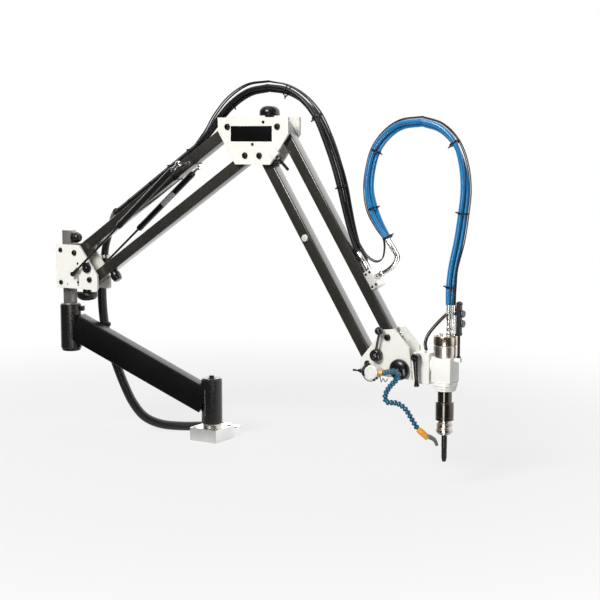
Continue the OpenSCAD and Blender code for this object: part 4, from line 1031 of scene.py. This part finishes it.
def build_valve():
    m = plane_matrix(VALVE[0], VALVE[1], 0.0, COOLANT_V)
    bm = bmesh.new()
    add_turned(bm, near(VALVE, -35, COOLANT_V + 17), -Y, [(21, 0), (23, 2.5), (23, 29), (21.8, 32),
        (19, 33.6), (16, 34), (15.4, 33.2)], 64)
    add_box(bm, m, (-40, 0, -10), (-20, 24, 10), 1.0)
    piece("coolant_valve_body", "head_plates", "valve", bm, 35, ["coolant_valve"])
    turned("coolant_adaptor", "head_plates", "orange", near(VALVE, -18, COOLANT_V), X, [(9.6, 0),
        (9.6, 7), (10.5, 7.6, 1), (10.5, 13.4, 1), (9, 15), (8.2, 18)], 40, 35)
    bm = bmesh.new()
    add_turned(bm, near(VALVE, -105, COOLANT_V), X, [(2.4, 0), (3.2, 1), (3.2, 11), (2.2, 12),
        (2.2, 16), (4, 18), (4, 30)], 28)
    for u, z in ((-49, 20), (-16, -15), (-24, -21)):
        bolt_head(bm, near(VALVE, u, COOLANT_V - 12, z), -Y, 8, 5.5)
    # painted shadow: a thin black curve along the valve body's round bottom edge
    strand(bm, [(VALVE[0] + u, COOLANT_V - 14, VALVE[1] + z) for u, z in ((-62, -4), (-58, -16),
        (-48, -24.4), (-35, -26), (-25, -22.5))], 1.5, 4, 12)
    strand(bm, [(VALVE[0] + u, COOLANT_V + 4, VALVE[1] + z) for u, z in ((-15, -8), (-12, -20),
        (-9, -29), (-3, -17), (4, -27), (14, -16))], 1.2, 4, 10)
    piece("coolant_stem_screws_and_painted_shadow", "head_plates", "black_oxide", bm, 35)
    knob = near(VALVE, -81.5, COOLANT_V)
    bm = bmesh.new()
    grips = [(15.4 + (0.8 if k % 2 else 0.0), 15 + k) for k in range(7)]
    add_turned(bm, knob, X, [(4.06, 0.3), (5.6, 0.3), (6.8, 1.4), (7.6, 4), (8.4, 8), (11.4, 11),
        (14.6, 13.4)] + grips + [(15.2, 22.6), (4.06, 22.8), (4.06, 0.3)], 44)
    at = plane_matrix(VALVE[0] - 81.5, VALVE[1], 0.0, COOLANT_V)
    hook = [(19, 0, 10), (19, 0, 22), (20.4, 0, 28), (25, 0, 30.2), (30.8, 0, 29.6)]
    add_tube(bm, [at @ (w * MM) for w in spline(hook, 3)], 3.3, 16)
    piece("coolant_knob", "coolant_lever", "plastic", bm, 30, ["coolant_lever"])
    # jointed line: a chain of waisted beads, an orange end and a bent grey nozzle
    path = smooth_path([(p[0] + HD_UP[0], p[1], p[2] + HD_UP[1]) for p in COOLANT], 1.0)
    lengths = [0.0]
    for p, q in zip(path, path[1:]):
        lengths.append(lengths[-1] + (q - p).length / MM)

    def place(d):
        k = min(max(i for i, n in enumerate(lengths) if n <= d + 1e-6), len(path) - 2)
        f = (d - lengths[k]) / max(lengths[k + 1] - lengths[k], 1e-6)
        return path[k].lerp(path[k + 1], min(f, 1.0))

    total, pitch = lengths[-1], 12.4
    count = int((total - 66) / pitch)
    bm = bmesh.new()
    for k in range(count):
        a, b = place(k * pitch), place((k + 1) * pitch)
        add_turned(bm, a, b - a, [(5.0, -0.6), (6.6, 0.6), (8.4, 2.2), (9.0, 4.4), (8.8, 6.8),
            (7.4, 9.0), (5.4, 10.2), (4.8, 11.2), (4.8, 12.6)], 28)
    piece("coolant_jointed_line", "head_plates", "line_blue", bm, 30, ["coolant_line"])
    a, b, tip = place(count * pitch), place(total - 36), path[-1]
    n = (b - a).length / MM
    turned("coolant_orange_end", "head_plates", "orange", a, b - a, [(6.4, 0), (8.4, 2), (9.4, 6),
        (9.6, 12), (9.0, n - 4), (8.2, n)], 36, 30)
    bend = [a.lerp(b, 0.8), b + Vector((0.004, 0, 0.004)), b.lerp(tip, 0.5)
        + Vector((0.006, 0, 0.006)), b.lerp(tip, 0.85) + Vector((0.003, 0, 0.001)), tip]
    bend = [w * MM for w in spline([w / MM for w in bend], 3)]
    bm = bmesh.new()
    add_tube(bm, bend, [7.8 - 3.0 * k / (len(bend) - 1) for k in range(len(bend))], 28)
    piece("coolant_nozzle", "head_plates", "nozzle", bm, 30)


def build_power_head():
    bottom = BLOCK_TOP - BLOCK_H
    m = Matrix.Translation(world(SPINDLE_U, 0, 0))
    bm = bmesh.new()
    half = BLOCK_W / 2
    add_box(bm, m, (-half, -half, bottom), (half, half, BLOCK_TOP), 1.5)
    add_turned(bm, world(SPINDLE_U, 0, bottom), -Z, [(38, 0), (38, 8.6), (37, 9.4), (35.6, 9.4),
        (35.6, 16.4), (34.8, 17.2), (33.4, 17.2), (33.4, 23.6), (32, 25), (13, 25), (12.1, 24),
        (12.1, 10)], 72)
    add_turned(bm, world(SPINDLE_U - half - 7.3, 0, TILT_Z), X, [(26.4, 0), (27, 0.8), (27, 8.5)],
        64)
    add_turned(bm, world(HD_UP[0] + 92, 0, TILT_Z), X, [(15.4, 0), (16, 0.8), (16, 52)], 56)
    add_box(bm, m, (half - 1, -7, TILT_Z + 14), (half + 20, 7, TILT_Z + 27), 1.5)
    piece("power_head_block", "head", "white", bm, 35, ["motor_block"])
    turned("motor_flange", "head", "motor_low", world(SPINDLE_U, 0, BLOCK_TOP), Z, [(33.6, 0),
        (34, 0.6), (34, 6), (35, 6.6), (35, 33.2), (34.4, 34), (33.4, 34.2)], 88, 28)
    turned("hydraulic_motor", "head", "motor", world(SPINDLE_U, 0, BLOCK_TOP), Z, [(33.4, 34.3),
        (33.4, 35.6), (34.4, 35.8), (35, 36.6), (35, 61), (34.2, 62.6), (32.4, 64)], 88, 28,
        ["motor"])
    build_head_fittings()
    build_control_box(m)
    build_spindle()


def build_head_fittings():
    bm = bmesh.new()
    for s in (-1, 1):
        add_turned(bm, world(HOSE_U, s * PAIR_V, MOTOR_TOP), Z,
            [(7.4, 0, 1), (7.4, 9, 1), (6.6, 10, 0.6), (5.2, 11), (5.2, 15), (6.9, 16, 1),
            (6.9, 27, 1), (6, 28, 0.6), (5.4, 29), (5.4, 48)], 40)
        add_turned(bm, world(HOSE_U, s * PAIR_V, HOSE_END_Z), -Z, ferrule_profile(44), 44)
    add_turned(bm, world(WIRE_U, 0, HOSE_END_Z), -Z, ferrule_profile(30, 5.3), 36)
    add_turned(bm, world(WIRE_U, 0, MOTOR_TOP), Z, [(5.3, 0, 1), (5.3, 8, 1), (3.6, 9),
        (3.6, 62)], 32)
    add_turned(bm, world(SPINDLE_U - 14, 0, MOTOR_TOP), Z, [(6.6, 0, 1), (6.6, 6, 1),
        (5.6, 7, 0.5), (3, 7)], 36)
    for k in range(4):
        a = math.radians(45 + 90 * k)
        add_turned(bm, world(SPINDLE_U + 26 * math.cos(a), 26 * math.sin(a), MOTOR_TOP), Z,
            [(4.4, 0), (4.4, 3.4), (3.8, 4), (2.3, 4), (2.1, 4, 1), (2.1, 1.6, 1)], 28)
    piece("motor_hose_ends", "head", "chrome", bm, 35, ["head_fittings"])


def build_control_box(m):
    """The box on its rod; u is its near face from the spindle."""
    u, top = BLOCK_W / 2 + 5.5, TILT_Z + 192
    middle, face = SPINDLE_U + u + 6.5, SPINDLE_U + u + 13
    bm = bmesh.new()
    add_box(bm, m, (u, -8.5, TILT_Z + 92), (u + 13, 8.5, top), 1.6)
    add_turned(bm, world(middle, 0, top), Z, [(5.2, -1), (5.2, 1.4, 1), (4.6, 2, 1)],
        32)
    for z in (158, 129):
        add_turned(bm, world(face, 0, TILT_Z + z), X, [(5.2, -2), (8.2, -2),
            (8.2, 0.05), (8.0, 0.2), (5.2, 0.2), (5.2, -2)], 44)
    piece("control_box", "head", "box", bm, 35, ["control_module"])
    bm = bmesh.new()
    add_turned(bm, world(middle, 0, TILT_Z + 27), Z, [(7, 0, 1), (7, 5, 1), (4, 6),
        (4, 64)], 32)
    piece("control_box_rod", "head", "black_oxide", bm, 35)
    bm = bmesh.new()
    for v in (-5, 5):
        for z in (98, 186):
            bolt_head(bm, world(face, v, TILT_Z + z), X, 4.4, 1.8)
    piece("control_box_screws", "head", "black_oxide", bm, 35)
    for name, z in (("upper", 158), ("lower", 129)):
        turned("push_button_" + name, "button_" + name, "button",
            world(face, 0, TILT_Z + z), X, [(5, -6.7), (5, 3.3), (10.2, 3.3),
            (11, 4), (11, 8), (10, 9.6), (8, 10.3), (7, 9.9), (0, 9.4)], 48, 35,
            ["button_" + name])


def build_spindle():
    bottom = BLOCK_TOP - BLOCK_H - 25 - 0.5
    chuck, core = bottom - 33, bottom - 89
    base = core - 38
    low, thread = base - 88, 44.0
    o = world(SPINDLE_U, 0, 0)
    turned("chuck_body", "spindle", "chuck", o, Z, [(20, core - 1), (20, core), (26.4, core),
        (27.5, core + 1.4), (27.5, core + 9), (27.1, core + 9.6), (27.1, core + 10.8),
        (27.5, core + 11.4), (27.5, chuck - 7), (27.1, chuck - 6.4), (27.1, chuck - 5),
        (27.5, chuck - 4.4), (27.5, chuck - 1.2), (26.5, chuck), (21.5, chuck),
        (21.5, bottom - 1.2), (20.4, bottom), (12, bottom), (12, bottom + 40)], 88, 30,
        ["spindle"])
    bm = bmesh.new()
    add_turned(bm, o, Z, [(19.4, base - 4), (20, base - 3.4), (20, core + 0.5)], 64)
    add_turned(bm, o, Z, [(10.6, base - 8), (11.4, base - 7.2), (16, base - 4.6), (17, base - 3)],
        56)
    piece("tap_holder", "spindle", "steel", bm, 30)
    bm = bmesh.new()
    add_turned(bm, o, Z, [(8.5, low + thread), (8.5, base - 7)], 40)
    add_tap(bm, o, low, thread, 8.5)
    piece("tap", "spindle", "tap", bm, 25)
    sleeve_top = core - 6.3
    flutes = [(23.6, base), (25, base + 1.4), (26, base + 3), (26, base + 12), (25.2, base + 13),
        (25.2, base + 15), (26, base + 16), (26, base + 17.4)]
    turned("quick_change_sleeve", "chuck_sleeve", "steel", o, Z, [(20.06, base), (22, base)]
        + flutes + [(24.8, base + 18.6), (24.6, sleeve_top - 3), (25.2, sleeve_top - 1),
        (24.4, sleeve_top), (20.06, sleeve_top), (20.06, base)], 80, 30, ["chuck_sleeve"])


def add_tap(bm, origin, low, length, radius):
    """A threaded tap with four flutes and a tapered lead."""
    segs, rows, pitch = 72, int(length / 0.5), 2.0
    rings = []
    for i in range(rows + 1):
        h = length * i / rows
        lead = min(1.0, 0.68 + 0.32 * h / 12.0)
        ring = []
        for k in range(segs):
            a = 2 * math.pi * k / segs
            phase = (h / pitch - a / (2 * math.pi)) % 1.0
            thread = 0.9 * abs(phase - 0.5) * 2
            flute = 2.6 * max(0.0, math.cos(4 * a)) ** 6
            r = (radius * lead - thread - flute) * MM
            ring.append(bm.verts.new(origin + Vector((math.cos(a) * r, math.sin(a) * r, (low + h)
                * MM))))
        rings.append(ring)
    bridge(bm, rings, caps=True)


# ---- studio ----


def math_node(tree, operation, a, b=None):
    sockets = {0: a} if b is None else {0: a, 1: b}
    return node(tree, "Math", sockets, operation=operation).outputs[0]


def dot_node(tree, vector, direction):
    return node(tree, "VectorMath", {0: vector, 1: direction},
        operation="DOT_PRODUCT").outputs["Value"]


def smooth_range(tree, source, low, high, to_low=0.0, to_high=1.0):
    return node(tree, "MapRange", {"Value": source, "From Min": low, "From Max": high,
        "To Min": to_low, "To Max": to_high}, interpolation_type="SMOOTHSTEP").outputs["Result"]


def mix_into(tree, share, first, second, target):
    mix = node(tree, "MixShader", {"Fac": share, 1: first.outputs[0], 2: second.outputs[0]})
    tree.links.new(mix.outputs[0], tree.nodes[target].inputs["Surface"])


def build_floor(scene):
    """A plain pale floor that runs out into the white behind it."""
    mat = bpy.data.materials.new("studio_floor")
    mat.use_nodes = True
    tree = mat.node_tree
    bsdf = tree.nodes["Principled BSDF"]
    for key, value in {"Base Color": (0.5, 0.5, 0.5, 1), "Roughness": 0.7,
            "Specular IOR Level": 0.1}.items():
        bsdf.inputs[key].default_value = value
    coord = node(tree, "TexCoord").outputs["Object"]
    y = node(tree, "SeparateXYZ", {0: coord}).outputs["Y"]
    path = node(tree, "LightPath").outputs
    # painted reflection: the floor glows for glossy rays only, dark in front of the arm and white
    # behind it, so that shiny pieces show it
    painted_reflection_glow = smooth_range(tree, y, -0.7, 0.3, 0.05, 1.3)
    # ... and a glowing white strip, seen only in reflections, that runs away from the power head
    # and paints a highlight stripe on its round pieces
    offset = node(tree, "VectorMath", {0: coord, 1: world(SPINDLE_U, 0, 0)},
        operation="SUBTRACT").outputs["Vector"]
    across = dot_node(tree, offset, (0.97, 0.24, 0))
    away = dot_node(tree, offset, (0.24, -0.97, 0))
    slant = math_node(tree, "ABSOLUTE", math_node(tree, "DIVIDE", across, away))
    painted_glint_strip = math_node(tree, "MULTIPLY", smooth_range(tree, slant, 0.10, 0.20, 9.0, 0.0),
        smooth_range(tree, away, 0.2, 0.5))
    # painted reflection: this glow reaches glossy rays only
    painted_reflection_glow = math_node(tree, "MULTIPLY", path["Is Glossy Ray"],
        math_node(tree, "MAXIMUM", painted_reflection_glow, painted_glint_strip))
    glow = node(tree, "Emission", {"Color": (1, 1, 1, 1), "Strength": math_node(tree, "MAXIMUM",
        path["Is Camera Ray"], painted_reflection_glow)})
    length = node(tree, "VectorMath", {0: coord}, operation="LENGTH").outputs["Value"]
    share = math_node(tree, "MULTIPLY", smooth_range(tree, length, 0.9, 2.6, 0.78, 1.0),
        path["Is Camera Ray"])
    share = math_node(tree, "MAXIMUM", share, path["Is Glossy Ray"])
    mix_into(tree, share, bsdf, glow, "Material Output")
    bm = bmesh.new()
    bmesh.ops.create_grid(bm, x_segments=1, y_segments=1, size=40)
    mesh = bpy.data.meshes.new("studio_floor")
    bm.to_mesh(mesh)
    bm.free()
    floor = bpy.data.objects.new("studio_floor", mesh)
    mesh.materials.append(mat)
    floor.location.z = -0.0005
    scene.collection.objects.link(floor)


def build_world(scene):
    """White to look at, white behind and above for reflections, dark in front of the arm."""
    scene.world = bpy.data.worlds.new("studio_world")
    scene.world.use_nodes = True
    tree = scene.world.node_tree
    back = tree.nodes["Background"]
    back.inputs["Color"].default_value = (0.97, 0.98, 1, 1)
    back.inputs["Strength"].default_value = 0.25
    coord = node(tree, "TexCoord").outputs["Generated"]
    split = node(tree, "SeparateXYZ", {0: coord}).outputs
    path = node(tree, "LightPath").outputs
    shine = math_node(tree, "MAXIMUM", smooth_range(tree, split["Y"], -0.30, 0.35, 0.06, 2.4),
        smooth_range(tree, split["Z"], 0.45, 0.90, 0.0, 0.6))
    shine = math_node(tree, "MULTIPLY", path["Is Glossy Ray"], shine)
    plain = math_node(tree, "MAXIMUM", path["Is Camera Ray"], path["Is Transmission Ray"])
    seen = node(tree, "Background", {"Color": (1, 1, 1, 1),
        "Strength": math_node(tree, "MAXIMUM", plain, shine)})
    total = math_node(tree, "MAXIMUM", plain, path["Is Glossy Ray"])
    mix_into(tree, total, back, seen, "World Output")


def build_studio():
    """The photograph's viewpoint, the floor, the world and two lamps."""
    scene = bpy.context.scene
    cam = bpy.data.cameras.new("camera")
    cam.lens, cam.sensor_width = 80.0, 36.0
    cam.clip_end = 100
    obj = bpy.data.objects.new("camera", cam)
    obj.location = world(3156, -3525, 1055)
    looks_down, looks_left = 7.06, 32
    obj.rotation_euler = (math.radians(90 - looks_down), 0, math.radians(looks_left))
    scene.collection.objects.link(obj)
    scene.camera = obj
    scene.view_settings.view_transform = "Standard"
    build_floor(scene)
    build_world(scene)
    lamps = [("key", (0.1, -6.0, 4.9), (0.2, 0, 0.6), 2.6, 2.6, 570), ("top", (0.1, 0.2, 3.8),
        (0.2, 0, 0.5), 2.0, 2.0, 12)]
    for name, place, target, wide, tall, power in lamps:
        light = bpy.data.lights.new(name, "AREA")
        light.shape = "RECTANGLE"
        light.size, light.size_y, light.energy = wide, tall, power
        lamp = bpy.data.objects.new(name, light)
        lamp.location = place
        aim = Vector(target) - Vector(place)
        lamp.rotation_euler = aim.to_track_quat("-Z", "Y").to_euler()
        scene.collection.objects.link(lamp)


build_base()
build_riser()
build_shoulder()
build_arms()
build_springs()
build_elbow()
build_manifold()
build_manifold_wire()
build_hoses()
build_head()
build_studio()
